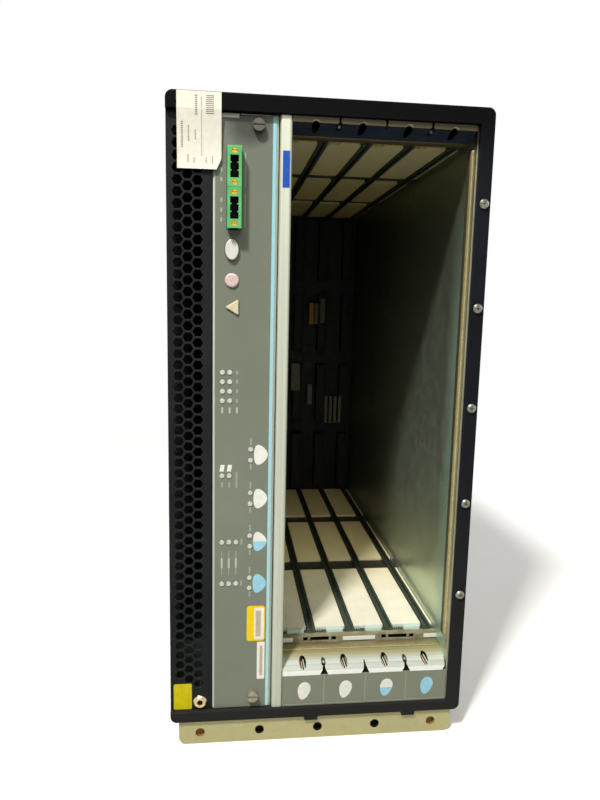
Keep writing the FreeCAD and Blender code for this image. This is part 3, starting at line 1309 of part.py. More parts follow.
def chassis_pieces():
    """Name and solids of every piece."""
    pieces = {
        "fan_side_wall": side_wall((BOTTOM, IN_BOTTOM), EAR_SCREW_RADIUS + SCREW_CLEARANCE),
        "filter_side_wall": side_wall((IN_TOP, TOP), EAR_TAP_RADIUS),
        "top_cover": top_cover(),
        "base_pan": cover((IN_RIGHT, RIGHT)),
        "corner_angles": corner_angles(),
        "rear_panel": rear_panel(),
        "divider_plate": divider_plate(),
        "cage_base_panel": cage_base_panel(),
        "fan_side_cage_wall": cage_wall((FLOOR - SHEET, FLOOR), RAIL_DEPTH + SHEET),
        "filter_side_cage_wall": cage_wall((CEILING, CEILING + SHEET), RAIL_DEPTH),
        "fan_bay_front": fan_bay_front(),
        "step_contacts": step_contacts(),
        "fan_side_vent_screens": vent_screens(FLOOR, 1),
        "filter_side_vent_screens": vent_screens(CEILING, -1),
        "fan_side_card_guides": card_guides(FLOOR, 1),
        "filter_side_card_guides": card_guides(CEILING, -1),
        "fan_side_slot_rail": fan_side_slot_rail(),
        "filter_side_slot_rail": filter_side_slot_rail(),
        "slot_label_strip": slot_label_strip(),
        "base_gasket": base_gasket(),
        "slot_gaskets": slot_gaskets(),
        "midplane": midplane(),
        "slot_connectors": slot_connectors(),
        "front_bezel": front_bezel(),
        "bezel_screws": bezel_screws(),
        "intake_grille": intake_grille(),
        "esd_jack": esd_jack(),
        "craft_panel": craft_panel(),
        "craft_board": craft_board(),
        "alarm_connectors": alarm_connectors(),
        "alarm_connector_screws": alarm_connector_screws(),
        "cutoff_button": cutoff_button(),
        "round_alarm_lens": round_lens(),
        "triangle_alarm_lens": triangle_lens(),
        "status_lamps": status_lamps(),
        "craft_captive_screws": craft_captive_screws(),
        "rack_ear": rack_ear(),
        "ear_screws": ear_screws(),
        "fan_tray_pan": fan_tray_pan(),
        "fan_tray_face": fan_tray_face(),
        "fan_tray_handle": handle(IN_BOTTOM + FAN_BAY / 2),
        "fan_tray_screws": [thumbscrew(x, z, FACE_SHEET + SHEET) for x, z in tray_thumb_places()],
        "filter_frame": filter_frame(),
        "filter_media": filter_media(),
        "filter_screws": [thumbscrew(x, z, FACE_SHEET + SHEET) for x, z in filter_thumb_places()],
        "power_bay_walls": power_bay_walls(),
    }
    for index, y in enumerate(fan_centres(), start=1):
        pieces[f"fan_housing_{index}"] = fan_housing(y)
        pieces[f"fan_rotor_{index}"] = fan_rotor(y)
    for bay in range(POWER_MODULES):
        low, high = bay_limits(bay)
        pieces[f"power_module_{bay + 1}"] = power_module(bay)
        pieces[f"power_module_{bay + 1}_handle"] = handle((low + high) / 2)
        pieces[f"power_module_{bay + 1}_screws"] = module_screws(bay)
    spare = range(POWER_MODULES, POWER_BAYS)
    pieces["bay_covers"] = [bay_cover(bay) for bay in spare]
    pieces["bay_cover_screws"] = [screw for bay in spare for screw in module_screws(bay)]
    return pieces


def main():
    """Place the pieces about the middle of the depth and write one file for each."""
    os.makedirs("parts", exist_ok=True)
    for name, made in chassis_pieces().items():
        solids = made if isinstance(made, list) else [made]
        solids = [solid for shape in solids for solid in shape.Solids]
        shape = solids[0] if len(solids) == 1 else Part.makeCompound(solids)
        shape.translate(FreeCAD.Vector(0, -MID_Y, 0))
        shape.exportStep(f"parts/{name}.step")
        print(name, len(solids), round(shape.Volume), shape.isValid())


main()
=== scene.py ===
import bpy
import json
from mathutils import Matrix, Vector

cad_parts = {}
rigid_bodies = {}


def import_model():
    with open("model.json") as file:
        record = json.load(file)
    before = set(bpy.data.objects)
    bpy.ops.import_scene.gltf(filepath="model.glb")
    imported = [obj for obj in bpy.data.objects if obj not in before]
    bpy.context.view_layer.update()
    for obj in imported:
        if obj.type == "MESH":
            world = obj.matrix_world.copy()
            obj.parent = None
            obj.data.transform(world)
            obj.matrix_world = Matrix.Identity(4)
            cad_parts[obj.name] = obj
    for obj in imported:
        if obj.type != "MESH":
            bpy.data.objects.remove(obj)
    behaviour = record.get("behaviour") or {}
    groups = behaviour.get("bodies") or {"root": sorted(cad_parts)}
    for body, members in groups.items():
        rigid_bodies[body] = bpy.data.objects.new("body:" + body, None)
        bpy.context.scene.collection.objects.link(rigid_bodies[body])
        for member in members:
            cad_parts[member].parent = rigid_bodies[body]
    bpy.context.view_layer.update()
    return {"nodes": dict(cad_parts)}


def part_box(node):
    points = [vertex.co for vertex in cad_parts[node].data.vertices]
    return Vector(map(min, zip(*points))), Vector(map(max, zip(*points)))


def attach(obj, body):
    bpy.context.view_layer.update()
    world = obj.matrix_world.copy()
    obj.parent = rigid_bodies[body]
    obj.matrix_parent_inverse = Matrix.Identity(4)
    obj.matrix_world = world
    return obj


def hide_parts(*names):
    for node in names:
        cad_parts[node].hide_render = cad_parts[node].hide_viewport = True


for leftover in list(bpy.data.objects):
    bpy.data.objects.remove(leftover)
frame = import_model()

import json
import math

import bmesh
from mathutils import Vector, noise

MM = 0.001
ACROSS = Vector((1, 0, 0))
BACK = Vector((0, 1, 0))
UP = Vector((0, 0, 1))

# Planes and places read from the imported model
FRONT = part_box("front_bezel")[0].y
CRAFT_LOW, CRAFT_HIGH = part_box("craft_panel")
LABEL_LOW, LABEL_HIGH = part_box("slot_label_strip")
DIVIDER_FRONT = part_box("divider_plate")[0].y
GRILLE_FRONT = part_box("intake_grille")[0].y
CONNECTOR_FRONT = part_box("slot_connectors")[0].y
SCREEN_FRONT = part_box("fan_side_vent_screens")[0].y
RAIL_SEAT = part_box("fan_side_slot_rail")[1].z
CAGE_LEFT, CAGE_RIGHT = LABEL_LOW.x, LABEL_HIGH.x
SLOTS = 4
SLOT_PITCH = (CAGE_RIGHT - CAGE_LEFT) / SLOTS

# Heights between which the looks of the fan side turn into those of the filter side
FAN_SIDE, FILTER_SIDE = 0.2, 0.3

# Spaces between the five screws of the bezel's right rim, and the size of their cross recess
BEZEL_SCREW_GAPS = 4
RECESS_ARM = 0.45 * MM
RECESS_REACH = 1.7 * MM

# Screw axes of the fan-side and the filter-side slot rail, and a radius just over their bores'
RAIL_HOLES = (58.5 * MM, 446.9 * MM)
RAIL_BORE = 2.66 * MM

# Bolt holes of the ear: pitch, height and a radius just over the bores'
EAR_HOLE_PITCH = 44.45 * MM
EAR_HOLE_HEIGHT = 9.0 * MM
EAR_BORE = 3.45 * MM

# Thickness of prints, paper labels, tape and the midplane's keys
PRINT = 0.06 * MM
PAPER = 0.12 * MM
TAPE = 0.2 * MM
KEY = 0.8 * MM

# Stretch of a noise that gives screws an even, fine grain
FINE = (500.0, 500.0, 500.0)

# Sockets of a mix node that hold its two colours and its result
MIX_FIRST, MIX_SECOND, MIX_RESULT = 6, 7, 2

# What the lamps face
MIDDLE = Vector((0.0, 0.0, 0.23))


def paint(red, green, blue):
    """Linear colour of an sRGB colour given in 0 to 255."""
    linear = []
    for part in (red, green, blue):
        part /= 255
        linear.append(part / 12.92 if part <= 0.04045 else ((part + 0.055) / 1.055) ** 2.4)
    return (*linear, 1.0)


def brighter(colour, gain):
    """Linear colour of an sRGB colour, raised by a gain."""
    return tuple(min(1.0, part * gain) for part in paint(*colour)[:3]) + (1.0,)


def at(x, y, z):
    """A point in millimetres, with y counted back from the bezel's front."""
    return Vector((x * MM, FRONT + y * MM, z * MM))


def operation(kind):
    """A method that gives a field to a Math node, with another field or number."""
    return lambda field, *other: field.finish.math(kind, field, *other)


class Field:
    """A value that varies over a surface: a node's output, with arithmetic."""

    __add__ = operation("ADD")
    __sub__ = operation("SUBTRACT")
    __mul__ = operation("MULTIPLY")
    __mod__ = operation("FLOORED_MODULO")
    __lt__ = operation("LESS_THAN")
    __gt__ = operation("GREATER_THAN")
    __abs__ = operation("ABSOLUTE")

    def __init__(self, finish, socket):
        self.finish = finish
        self.socket = socket

    def fit(self, low, high, to_low=0.0, to_high=1.0):
        """Maps low to high onto another range, and clamps to it."""
        node = self.finish.add("ShaderNodeMapRange")
        self.finish.give(node.inputs["Value"], self)
        for socket, number in zip(("From Min", "From Max", "To Min", "To Max"), (low, high, to_low, to_high)):
            node.inputs[socket].default_value = number
        return Field(self.finish, node.outputs["Result"])


class Finish:
    """A procedural material, built up round one principled shader. Colours of three parts are sRGB, 0 to 255."""

    def __init__(self, name, roughness=0.5, metallic=0.0, specular=0.4, coat=0.0):
        self.material = bpy.data.materials.new(name)
        self.material.use_nodes = True
        self.tree = self.material.node_tree
        self.tree.nodes.clear()
        self.link = self.tree.links.new
        self.shader = self.add("ShaderNodeBsdfPrincipled")
        self.output = self.add("ShaderNodeOutputMaterial")
        self.link(self.shader.outputs["BSDF"], self.output.inputs["Surface"])
        self.place = self.add("ShaderNodeTexCoord").outputs["Object"]
        self.normal = None
        values = {"Roughness": roughness, "Metallic": metallic, "Specular IOR Level": specular, "Coat Weight": coat}
        for socket, value in values.items():
            self.set(socket, value)

    def add(self, kind, **settings):
        node = self.tree.nodes.new(kind)
        for name, value in settings.items():
            setattr(node, name, value)
        return node

    def give(self, socket, value):
        """Links a field to a socket, or sets a plain value on it."""
        if isinstance(value, Field):
            self.link(value.socket, socket)
        else:
            socket.default_value = paint(*value) if isinstance(value, tuple) and len(value) == 3 else value

    def set(self, socket, value):
        self.give(self.shader.inputs[socket], value)

    def colour(self, value):
        self.set("Base Color", value)

    def cover(self, mask, colour):
        """Lays a colour over the base colour where the mask is 1, and returns the finish."""
        base = self.shader.inputs["Base Color"].links[0].from_socket
        self.colour(self.mix(mask, Field(self, base), colour))
        return self

    def texture(self, node, output, stretch, **inputs):
        """A texture node's output over object coordinates, scaled along each axis."""
        mapping = self.add("ShaderNodeMapping")
        self.link(self.place, mapping.inputs["Vector"])
        mapping.inputs["Scale"].default_value = stretch
        self.link(mapping.outputs["Vector"], node.inputs["Vector"])
        for name, value in inputs.items():
            node.inputs[name].default_value = value
        return Field(self, node.outputs[output])

    def noise(self, scale, detail=2.0, stretch=(1, 1, 1)):
        return self.texture(self.add("ShaderNodeTexNoise"), "Fac", stretch, Scale=scale, Detail=detail)

    def cells(self, scale, output="Distance", stretch=(1, 1, 1), randomness=1.0):
        node = self.add("ShaderNodeTexVoronoi")
        return self.texture(node, output, stretch, Scale=scale, Randomness=randomness)

    def bands(self, scale, axis):
        """Even sine bands across an axis."""
        node = self.add("ShaderNodeTexWave", wave_type="BANDS", bands_direction=axis)
        return self.texture(node, "Fac", (1, 1, 1), Scale=scale)

    def split(self, vector):
        node = self.add("ShaderNodeSeparateXYZ")
        self.link(vector, node.inputs["Vector"])
        return [Field(self, node.outputs[axis]) for axis in "XYZ"]

    def position(self):
        """The three coordinates of the surface at rest."""
        return self.split(self.place)

    def facing(self):
        """The three components of the surface normal."""
        return self.split(self.add("ShaderNodeNewGeometry").outputs["Normal"])

    def math(self, operation, *values):
        node = self.add("ShaderNodeMath", operation=operation)
        for socket, value in zip(node.inputs, values):
            self.give(socket, value)
        return Field(self, node.outputs["Value"])

    def mix(self, factor, first, second):
        """Blends two colours."""
        node = self.add("ShaderNodeMix", data_type="RGBA")
        self.give(node.inputs["Factor"], factor)
        self.give(node.inputs[MIX_FIRST], first)
        self.give(node.inputs[MIX_SECOND], second)
        return Field(self, node.outputs[MIX_RESULT])

    def mottle(self, scale, first, second, low=0.3, high=0.7, detail=4.0):
        """Two colours in soft clouds."""
        return self.mix(self.noise(scale, detail).fit(low, high), first, second)

    def rough(self, field, least, most, low=0.3, high=0.7):
        self.set("Roughness", field.fit(low, high, least, most))

    def bump(self, height, depth, strength):
        """Adds relief to the shading, and returns the finish."""
        node = self.add("ShaderNodeBump")
        node.inputs["Strength"].default_value = strength
        node.inputs["Distance"].default_value = depth
        self.give(node.inputs["Height"], height)
        if self.normal is not None:
            self.link(self.normal, node.inputs["Normal"])
        self.normal = node.outputs["Normal"]
        self.link(self.normal, self.shader.inputs["Normal"])
        return self

    def rounded(self, radius):
        """Rounds sharp edges in the shading and returns a mask of the edges."""
        bevel = self.add("ShaderNodeBevel", samples=4)
        bevel.inputs["Radius"].default_value = radius
        self.normal = bevel.outputs["Normal"]
        self.link(self.normal, self.shader.inputs["Normal"])
        dot = self.add("ShaderNodeVectorMath", operation="DOT_PRODUCT")
        self.link(self.normal, dot.inputs[0])
        self.link(self.add("ShaderNodeNewGeometry").outputs["True Normal"], dot.inputs[1])
        return Field(self, dot.outputs["Value"]).fit(0.995, 0.8)


def painted(name, colour, dark, worn, grain=1500.0, specular=0.35, wear=0.4):
    """Powder-coated sheet: fine orange-peel, faint smudges, and paint worn lighter along the edges."""
    finish = Finish(name, specular=specular)
    edges = finish.rounded(0.6 * MM)
    finish.colour(finish.mottle(30.0, dark, colour))
    finish.cover(edges * finish.noise(160.0, 4.0).fit(0.3, 0.62, 0.25, 1.0) * wear, worn)
    finish.rough(finish.noise(90.0, 3.0), 0.4, 0.58)
    return finish.bump(finish.noise(grain), 0.05 * MM, 0.6)


def zinc(name, colour, dark, metallic, spangle=160.0, roughness=(0.36, 0.5), specular=0.5):
    """Zinc-plated sheet: faint spangles, soft stains, fine rolling lines and a painted highlight along the edges."""
    finish = Finish(name, metallic=metallic, specular=specular)
    edges = finish.rounded(0.4 * MM)
    flakes = finish.add("ShaderNodeSeparateColor")
    finish.give(flakes.inputs["Color"], finish.cells(spangle, "Color"))
    red, green = (Field(finish, flakes.outputs[name]) for name in ("Red", "Green"))
    lines = finish.noise(260.0, 3.0, (1.0, 0.05, 1.0))
    tone = red * 0.1 + finish.noise(9.0, 4.0) * 0.7 + lines * 0.2
    finish.colour(finish.mix(tone.fit(0.25, 0.8), dark, colour))
    # Painted highlight: the edges are painted in a brighter copy of the sheet's colour.
    finish.cover(edges * 0.6, brighter(colour, 1.3))
    finish.rough(green, *roughness, 0.0, 1.0)
    return finish.bump(lines, 0.02 * MM, 0.5)


def moulded(name, colour, dark, roughness=(0.36, 0.5), specular=0.4, coat=0.0, light=None):
    """Moulded plastic: a faint mottle, spark-eroded grain and softened edges, with a painted highlight on them where a
    light colour is given.
    """
    finish = Finish(name, specular=specular, coat=coat)
    edges = finish.rounded(0.3 * MM)
    finish.colour(finish.mottle(120.0, dark, colour))
    # Painted highlight: where a light colour is given, the edges are painted in it.
    if light is not None:
        finish.cover(edges * 0.75, light)
    finish.rough(finish.noise(260.0), *roughness)
    return finish.bump(finish.noise(2200.0, 1.0), 0.02 * MM, 0.5)


def machined(name, colour, dark, stretch, roughness, metallic=1.0):
    """Bare metal with fine drawn or turned lines along one direction, and a painted highlight along its edges."""
    finish = Finish(name, metallic=metallic)
    edges = finish.rounded(0.25 * MM)
    lines = finish.noise(1.0, 4.0, stretch)
    finish.colour(finish.mix(lines.fit(0.3, 0.7), dark, colour))
    # Painted highlight: the edges are painted in a brighter copy of the metal's colour.
    finish.cover(edges * 0.8, brighter(colour, 1.2))
    finish.rough(lines, *roughness, 0.25, 0.75)
    return finish.bump(lines, 0.02 * MM, 0.4)


def printed(name, colour, dark, roughness=0.55):
    """Ink or label stock: slightly uneven cover and a paper-fine surface."""
    finish = Finish(name, roughness=roughness, specular=0.25)
    finish.colour(finish.mottle(300.0, dark, colour))
    return finish.bump(finish.noise(2600.0), 0.01 * MM, 0.5)


def stripe_finish():
    """Pale blue ink, deeper towards the panel's top."""
    finish = printed("ink_stripe", (184, 225, 232), (170, 214, 222))
    return finish.cover(finish.position()[2].fit(CRAFT_LOW.z, CRAFT_HIGH.z), (136, 192, 206))


def bezel_finish():
    """Charcoal paint with worn edges, painted lighter towards the bottom rim as light and near black along the top as
    shade.
    """
    finish = painted("bezel_paint", (27, 29, 35), (21, 22, 27), (66, 68, 74), specular=0.03, wear=0.45)
    height = finish.position()[2]
    # Painted light: lighter towards the bottom rim.
    finish.cover(height.fit(0.25, 0.02, 0.0, 0.5), (52, 51, 46))
    # Painted shade: near black along the top.
    return finish.cover(height.fit(0.42, 0.455, 0.0, 0.9), (6, 6, 7))


def craft_finish():
    """Grey panel paint, bright on the bevelled long edges, with painted shade dulling it near the top and a painted
    shadow there.
    """
    finish = painted("craft_paint", (122, 128, 113), (115, 121, 107), (186, 192, 178), grain=1100.0)
    x, _, z = finish.position()
    # Painted shade: darker towards the top.
    finish.cover(z.fit(CRAFT_HIGH.z - 260 * MM, CRAFT_HIGH.z, 0.0, 0.7), (84, 88, 78))
    # Painted shadow: a soft dark patch near the panel's top left.
    across = x - (CRAFT_LOW.x + 24 * MM)
    rise = z - (CRAFT_HIGH.z - 6 * MM)
    painted_shadow = (across * across + rise * rise).fit((17 * MM) ** 2, (7 * MM) ** 2, 0.0, 0.85)
    finish.cover(painted_shadow, (34, 37, 33))
    slant = abs(finish.facing()[0])
    return finish.cover(slant.fit(0.3, 0.6) * slant.fit(0.95, 0.85) * 0.85, (206, 210, 196))


def screw_holes(finish, level, side, lines):
    """Threaded bores in a rail's skin, painted near black as shade, with a painted glint of thread lines or of a rim
    on the half that shows.
    """
    x, y, z = finish.position()
    across = (x - CAGE_LEFT) % SLOT_PITCH - SLOT_PITCH / 2
    rise = z - level
    shown = (rise * -side).fit(0.6 * MM, 1.6 * MM)
    # Painted highlight: thread lines or a rim glinting on the half of the bore that shows.
    if lines:
        metal = finish.bands(190.0, "X").fit(0.45, 0.75) * shown
    else:
        metal = shown * y.fit(FRONT + 6 * MM, FRONT + 4.5 * MM)
    inside = across * across + rise * rise < RAIL_BORE ** 2
    # Painted shade: the bore is painted near black under that highlight.
    finish.cover(inside, finish.mix(metal, (10, 9, 7), (236, 227, 198)))


def rail_finish():
    """Extruded aluminium: pale skin with fine die lines along X and a tan band below its seat; painted highlight on
    its edges and front faces, painted shade in its notches and on its ledge.
    """
    finish = Finish("rail_skin", metallic=0.3, specular=0.5)
    edges = finish.rounded(0.3 * MM)
    _, y, z = finish.position()
    facing_x, facing_y, facing_z = finish.facing()
    fine = finish.noise(1.0, 3.0, (3.0, 900.0, 900.0))
    broad = finish.noise(1.0, 2.0, (2.0, 260.0, 260.0))
    finish.colour(finish.mix(fine.fit(0.3, 0.7), (184, 189, 180), (206, 211, 203)))
    finish.cover(broad.fit(0.58, 0.72, 0.0, 0.35), (158, 170, 164))
    # Painted highlight along the edges.
    finish.cover(edges * 0.6, (228, 230, 224))
    nose = RAIL_SEAT - LABEL_HIGH.z
    finish.cover(z.fit(RAIL_SEAT - 0.27 * nose, RAIL_SEAT - 0.09 * nose, 0.0, 0.85), (158, 148, 100))
    # Painted highlight on the faces turned to the front, and painted shade on the notches' back walls.
    notch_shade = y.fit(FRONT + 4 * MM, FRONT + 5 * MM) * (z < RAIL_SEAT)
    finish.cover(facing_y.fit(-0.85, -0.97), finish.mix(notch_shade, (234, 236, 230), (34, 31, 24)))
    # Painted shade on the notches' side walls.
    finish.cover(abs(facing_x).fit(0.3, 0.5), (44, 41, 32))
    # Painted shade on the low ledge that faces up.
    finish.cover((z < LABEL_HIGH.z + 0.3 * MM) * facing_z.fit(0.8, 0.95), (30, 28, 22))
    screw_holes(finish, RAIL_HOLES[0], 1.0, True)
    finish.rough(fine, 0.3, 0.45)
    return finish.bump(fine, 0.02 * MM, 0.4)


def filter_rail_finish():
    """The upper rail: its aluminium painted dark as shade, dull brown on its front and blue-black on the faces turned
    down, with a painted highlight on its edges.
    """
    finish = Finish("filter_rail_skin", metallic=0.1, specular=0.2)
    edges = finish.rounded(0.3 * MM)
    lines = finish.noise(1.0, 3.0, (3.0, 700.0, 700.0))
    # Painted shade: the rail is painted dull brown, much darker than the fan-side rail.
    finish.colour(finish.mix(lines.fit(0.3, 0.7), (54, 49, 30), (78, 71, 43)))
    under = finish.mix(lines.fit(0.3, 0.7), (40, 48, 66), (58, 68, 90))
    # Painted shade: blue-black on the faces turned down.
    finish.cover(finish.facing()[2].fit(-0.3, -0.6), under)
    # Painted highlight along the edges.
    finish.cover(edges * 0.5, (84, 76, 56))
    screw_holes(finish, RAIL_HOLES[1], -1.0, False)
    finish.rough(lines, 0.25, 0.4)
    return finish.bump(lines, 0.02 * MM, 0.4)


def base_panel_finish():
    """Bright zinc panel with painted shade further in, higher up and in the top corner of the strip in front of the
    gasket, painted light low down near the front, and a painted highlight in a band beside the gasket.
    """
    finish = zinc("base_panel_plate", (186, 193, 174), (166, 173, 152), 0.86, roughness=(0.3, 0.4))
    low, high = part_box("base_gasket")
    _, depth, height = finish.position()
    streaks = finish.noise(9.0, 3.0, (1.0, 6.0, 0.25))
    finish.cover(streaks.fit(0.45, 0.75, 0.0, 0.3), (172, 184, 168))
    # Painted shade: darker further in.
    finish.cover(depth.fit(high.y + 120 * MM, high.y + 280 * MM, 0.0, 0.65), (84, 86, 68))
    # Painted light: paler low down near the front.
    painted_low_light = height.fit(0.24, 0.08) * depth.fit(high.y + 200 * MM, high.y + 80 * MM)
    finish.cover(painted_low_light, (216, 230, 202))
    # Painted shade: darker higher up.
    finish.cover(height.fit(0.22, 0.44, 0.0, 0.6), (96, 98, 78))
    # Painted highlight: a pale cyan band beside the gasket, fading towards the top.
    painted_sheen_band = depth.fit(high.y + 24 * MM, high.y + 5 * MM, 0.0, 0.75) * height.fit(0.42, 0.3)
    finish.cover(painted_sheen_band, (160, 196, 178))
    finish.set("Metallic", painted_sheen_band.fit(0.0, 0.75, 0.86, 0.6))
    # The strip in front of the gasket is pale, with painted shade in its top corner.
    strip_pale_and_corner_shade = finish.mix(height.fit(high.z - 6 * MM, high.z + 4 * MM), (176, 174, 148), (52, 46, 32))
    return finish.cover(depth.fit(low.y + 0.4 * MM, low.y - 0.4 * MM), strip_pale_and_corner_shade)


def gasket_finish(name, light, dark, seam):
    """Conductive cloth over foam: a fine plain weave."""
    finish = Finish(name, metallic=0.2, specular=0.4)
    weave = finish.cells(900.0, randomness=0.35)
    threads = finish.noise(500.0, 3.0)
    finish.colour(finish.mix(threads.fit(0.32, 0.68), dark, light))
    finish.cover(weave.fit(0.3, 0.65, 0.0, 0.35), seam)
    finish.rough(threads, 0.4, 0.65)
    return finish.bump(weave, 0.12 * MM, 0.5)


def base_gasket_finish():
    """Pale woven gasket, with painted shade dulling it towards the filter side and darkening its rear side."""
    finish = gasket_finish("base_gasket_weave", (206, 196, 146), (176, 162, 110), (140, 126, 84))
    low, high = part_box("base_gasket")
    _, depth, height = finish.position()
    rear = low.y + 0.3 * (high.y - low.y)
    # Painted shade: duller towards the filter side.
    finish.cover(height.fit(low.z, high.z, 0.0, 0.55), (104, 96, 66))
    # Painted shade: dark along the rear side.
    return finish.cover(depth.fit(rear - 0.5 * MM, rear + 0.5 * MM, 0.0, 0.9), (52, 48, 34))


def slot_gasket_finish():
    """Tan woven gasket, dark towards its back, with painted shade darkening the upper strip."""
    finish = gasket_finish("gasket_weave", (156, 147, 104), (132, 122, 84), (112, 101, 70))
    low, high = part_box("slot_gaskets")
    _, depth, height = finish.position()
    finish.cover(depth.fit(low.y + 1 * MM, high.y - 3 * MM, 0.0, 0.85), (104, 92, 66))
    # Painted shade on the upper strip.
    return finish.cover(height.fit(FAN_SIDE, FILTER_SIDE, 0.0, 0.85), (66, 58, 34))


def bezel_screw_finish():
    """Dull steel heads with their cross recess painted dark as shade."""
    finish = machined("bezel_screw", (140, 143, 130), (100, 103, 94), FINE, (0.34, 0.48))
    low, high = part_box("bezel_screws")
    x, _, z = finish.position()
    head = (high.x - low.x) / 2
    pitch = (high.z - low.z - 2 * head) / BEZEL_SCREW_GAPS
    across = x - (low.x + high.x) / 2
    rise = (z - (low.z + head - pitch / 2)) % pitch - pitch / 2
    arm = across * rise
    # Painted shade: the cross recess is painted dark.
    recess = (arm * arm < RECESS_ARM ** 4) * (across * across + rise * rise < RECESS_REACH ** 2)
    return finish.cover(recess, (58, 52, 40))


def captive_finish():
    """Dull captive screws, the upper one painted dark as shade."""
    finish = machined("captive_screw", (160, 156, 138), (130, 126, 110), FINE, (0.3, 0.45), metallic=0.5)
    # Painted shade on the upper screw.
    return finish.cover(finish.position()[2].fit(0.3, 0.35, 0.0, 0.8), (42, 42, 38))


def pin_finish():
    """Steel of the alignment pins, painted dim on the upper rail as shade."""
    finish = machined("rail_pin", (168, 166, 156), (120, 118, 110), FINE, (0.3, 0.42))
    # Painted shade on the upper rail's pins.
    return finish.cover(finish.position()[2].fit(FAN_SIDE, FILTER_SIDE, 0.0, 0.8), (52, 50, 46))


def paint_depth_shade(finish):
    """Painted shade: turns a coat brown-black from the card cage's front to its back."""
    depth = finish.position()[1].fit(SCREEN_FRONT + 10 * MM, SCREEN_FRONT + 160 * MM, 0.0, 0.8)
    finish.cover(depth, (32, 30, 20))


def wall_finish():
    """Dark cage wall between the vent screens, with painted shade further in and painted light on the step behind the
    fan-side rail.
    """
    finish = painted("cage_wall_coat", (60, 68, 60), (50, 58, 50), (96, 104, 94))
    # Painted shade further into the cage.
    paint_depth_shade(finish)
    x, y, z = finish.position()
    # Painted light: the step behind the fan-side rail is paler.
    step = z.fit(RAIL_SEAT - 1 * MM, RAIL_SEAT) * z.fit(RAIL_SEAT + 30 * MM, RAIL_SEAT + 20 * MM)
    step = step * y.fit(SCREEN_FRONT + 1 * MM, SCREEN_FRONT) * (x > CAGE_LEFT)
    return finish.cover(step, finish.mottle(120.0, (112, 106, 80), (142, 140, 114), 0.35, 0.65))


def guide_finish():
    """Dark green guide plastic, with painted shade turning it brown-black further into the cage."""
    finish = moulded("guide_plastic", (66, 76, 64), (54, 63, 53))
    paint_depth_shade(finish)
    return finish


def screen_finish():
    """Cream vent screen, painted tan as shade further in and on the filter side: a fine mesh of dimples, and a tinted
    front lip.
    """
    finish = Finish("screen_cream", specular=0.3)
    finish.rounded(0.5 * MM)
    _, y, z = finish.position()
    upper = z.fit(FAN_SIDE, FILTER_SIDE)
    lip = SCREEN_FRONT + 5.0 * MM
    finish.colour(finish.mottle(50.0, (217, 210, 190), (229, 223, 205)))
    # Painted shade: tan on the filter side.
    finish.cover(upper * 0.7, (206, 190, 128))
    # Painted shade: tan further in.
    finish.cover(y.fit(lip + 50 * MM, lip + 170 * MM, 0.0, 0.75), (210, 188, 128))
    holes = finish.cells(520.0, "Distance", (1.0, 1.0, 0.02), 0.0).fit(0.16, 0.34)
    finish.cover(finish.math("SUBTRACT", 1.0, holes) * 0.12, (168, 160, 138))
    tint = finish.mix(upper, (182, 204, 196), (216, 198, 132))
    finish.cover(y.fit(lip + 0.5 * MM, lip - 0.5 * MM) * 0.85, tint)
    finish.rough(finish.noise(300.0), 0.45, 0.62)
    return finish.bump(holes, 0.08 * MM, 0.3)


def board_finish():
    """Solder-masked board with faint copper runs under the mask."""
    finish = Finish("board_mask", specular=0.15)
    runs = finish.bands(95.0, "X").fit(0.35, 0.5)
    breaks = finish.noise(45.0, 3.0, (1.0, 1.0, 0.25)).fit(0.45, 0.55)
    finish.colour(finish.mix(runs * breaks, (12, 15, 12), (20, 25, 19)))
    finish.rough(finish.noise(140.0, 3.0), 0.4, 0.6)
    return finish.bump(runs, 0.04 * MM, 0.5)


def connector_finish():
    """Dark connector plastic with rows of contact openings."""
    finish = moulded("connector_plastic", (22, 22, 20), (15, 15, 14), (0.5, 0.65), 0.15)
    pins = finish.bands(160.0, "X").fit(0.4, 0.6) * finish.bands(160.0, "Z").fit(0.4, 0.6)
    return finish.cover(pins * finish.facing()[1].fit(-0.7, -0.9), (44, 40, 30))


def ear_finish():
    """Yellow-passivated zinc, clouded from straw to green-grey, with its middle bores painted near black as shade and
    its outer bores painted brown.
    """
    finish = zinc("ear_zinc_plate", (190, 183, 134), (170, 164, 118), 0.2, 200.0, (0.42, 0.55))
    x, _, z = finish.position()
    finish.cover(finish.noise(14.0, 3.0).fit(0.5, 0.75, 0.0, 0.35), (160, 160, 124))
    across = (x + EAR_HOLE_PITCH / 2) % EAR_HOLE_PITCH - EAR_HOLE_PITCH / 2
    rise = z - EAR_HOLE_HEIGHT
    # Painted shade in the bores: near black in the middle ones, brown in the outer ones.
    bore_shade_and_tan = finish.mix(abs(x) > 1.5 * EAR_HOLE_PITCH, (24, 18, 11), (150, 112, 66))
    return finish.cover(across * across + rise * rise < EAR_BORE ** 2, bore_shade_and_tan)


def relay_finish():
    """Green connector plastic with a painted highlight on its edges, painted black inside the sockets as shade."""
    # Painted highlight: the edges are painted light green.
    finish = moulded("relay_plastic", (88, 178, 104), (70, 158, 88), (0.26, 0.4), 0.5, 0.2, (140, 208, 150))
    low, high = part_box("alarm_connectors")
    x, y, _ = finish.position()
    socket = (y > low.y + 0.5 * MM) * (abs(x - (low.x + high.x) / 2) < 2.9 * MM)
    # Painted shade: black inside the sockets.
    finish.cover(socket, (10, 16, 10))
    finish.set("Specular IOR Level", socket.fit(0.0, 1.0, 0.5, 0.05))
    finish.set("Coat Weight", socket.fit(0.0, 1.0, 0.2, 0.0))
    return finish


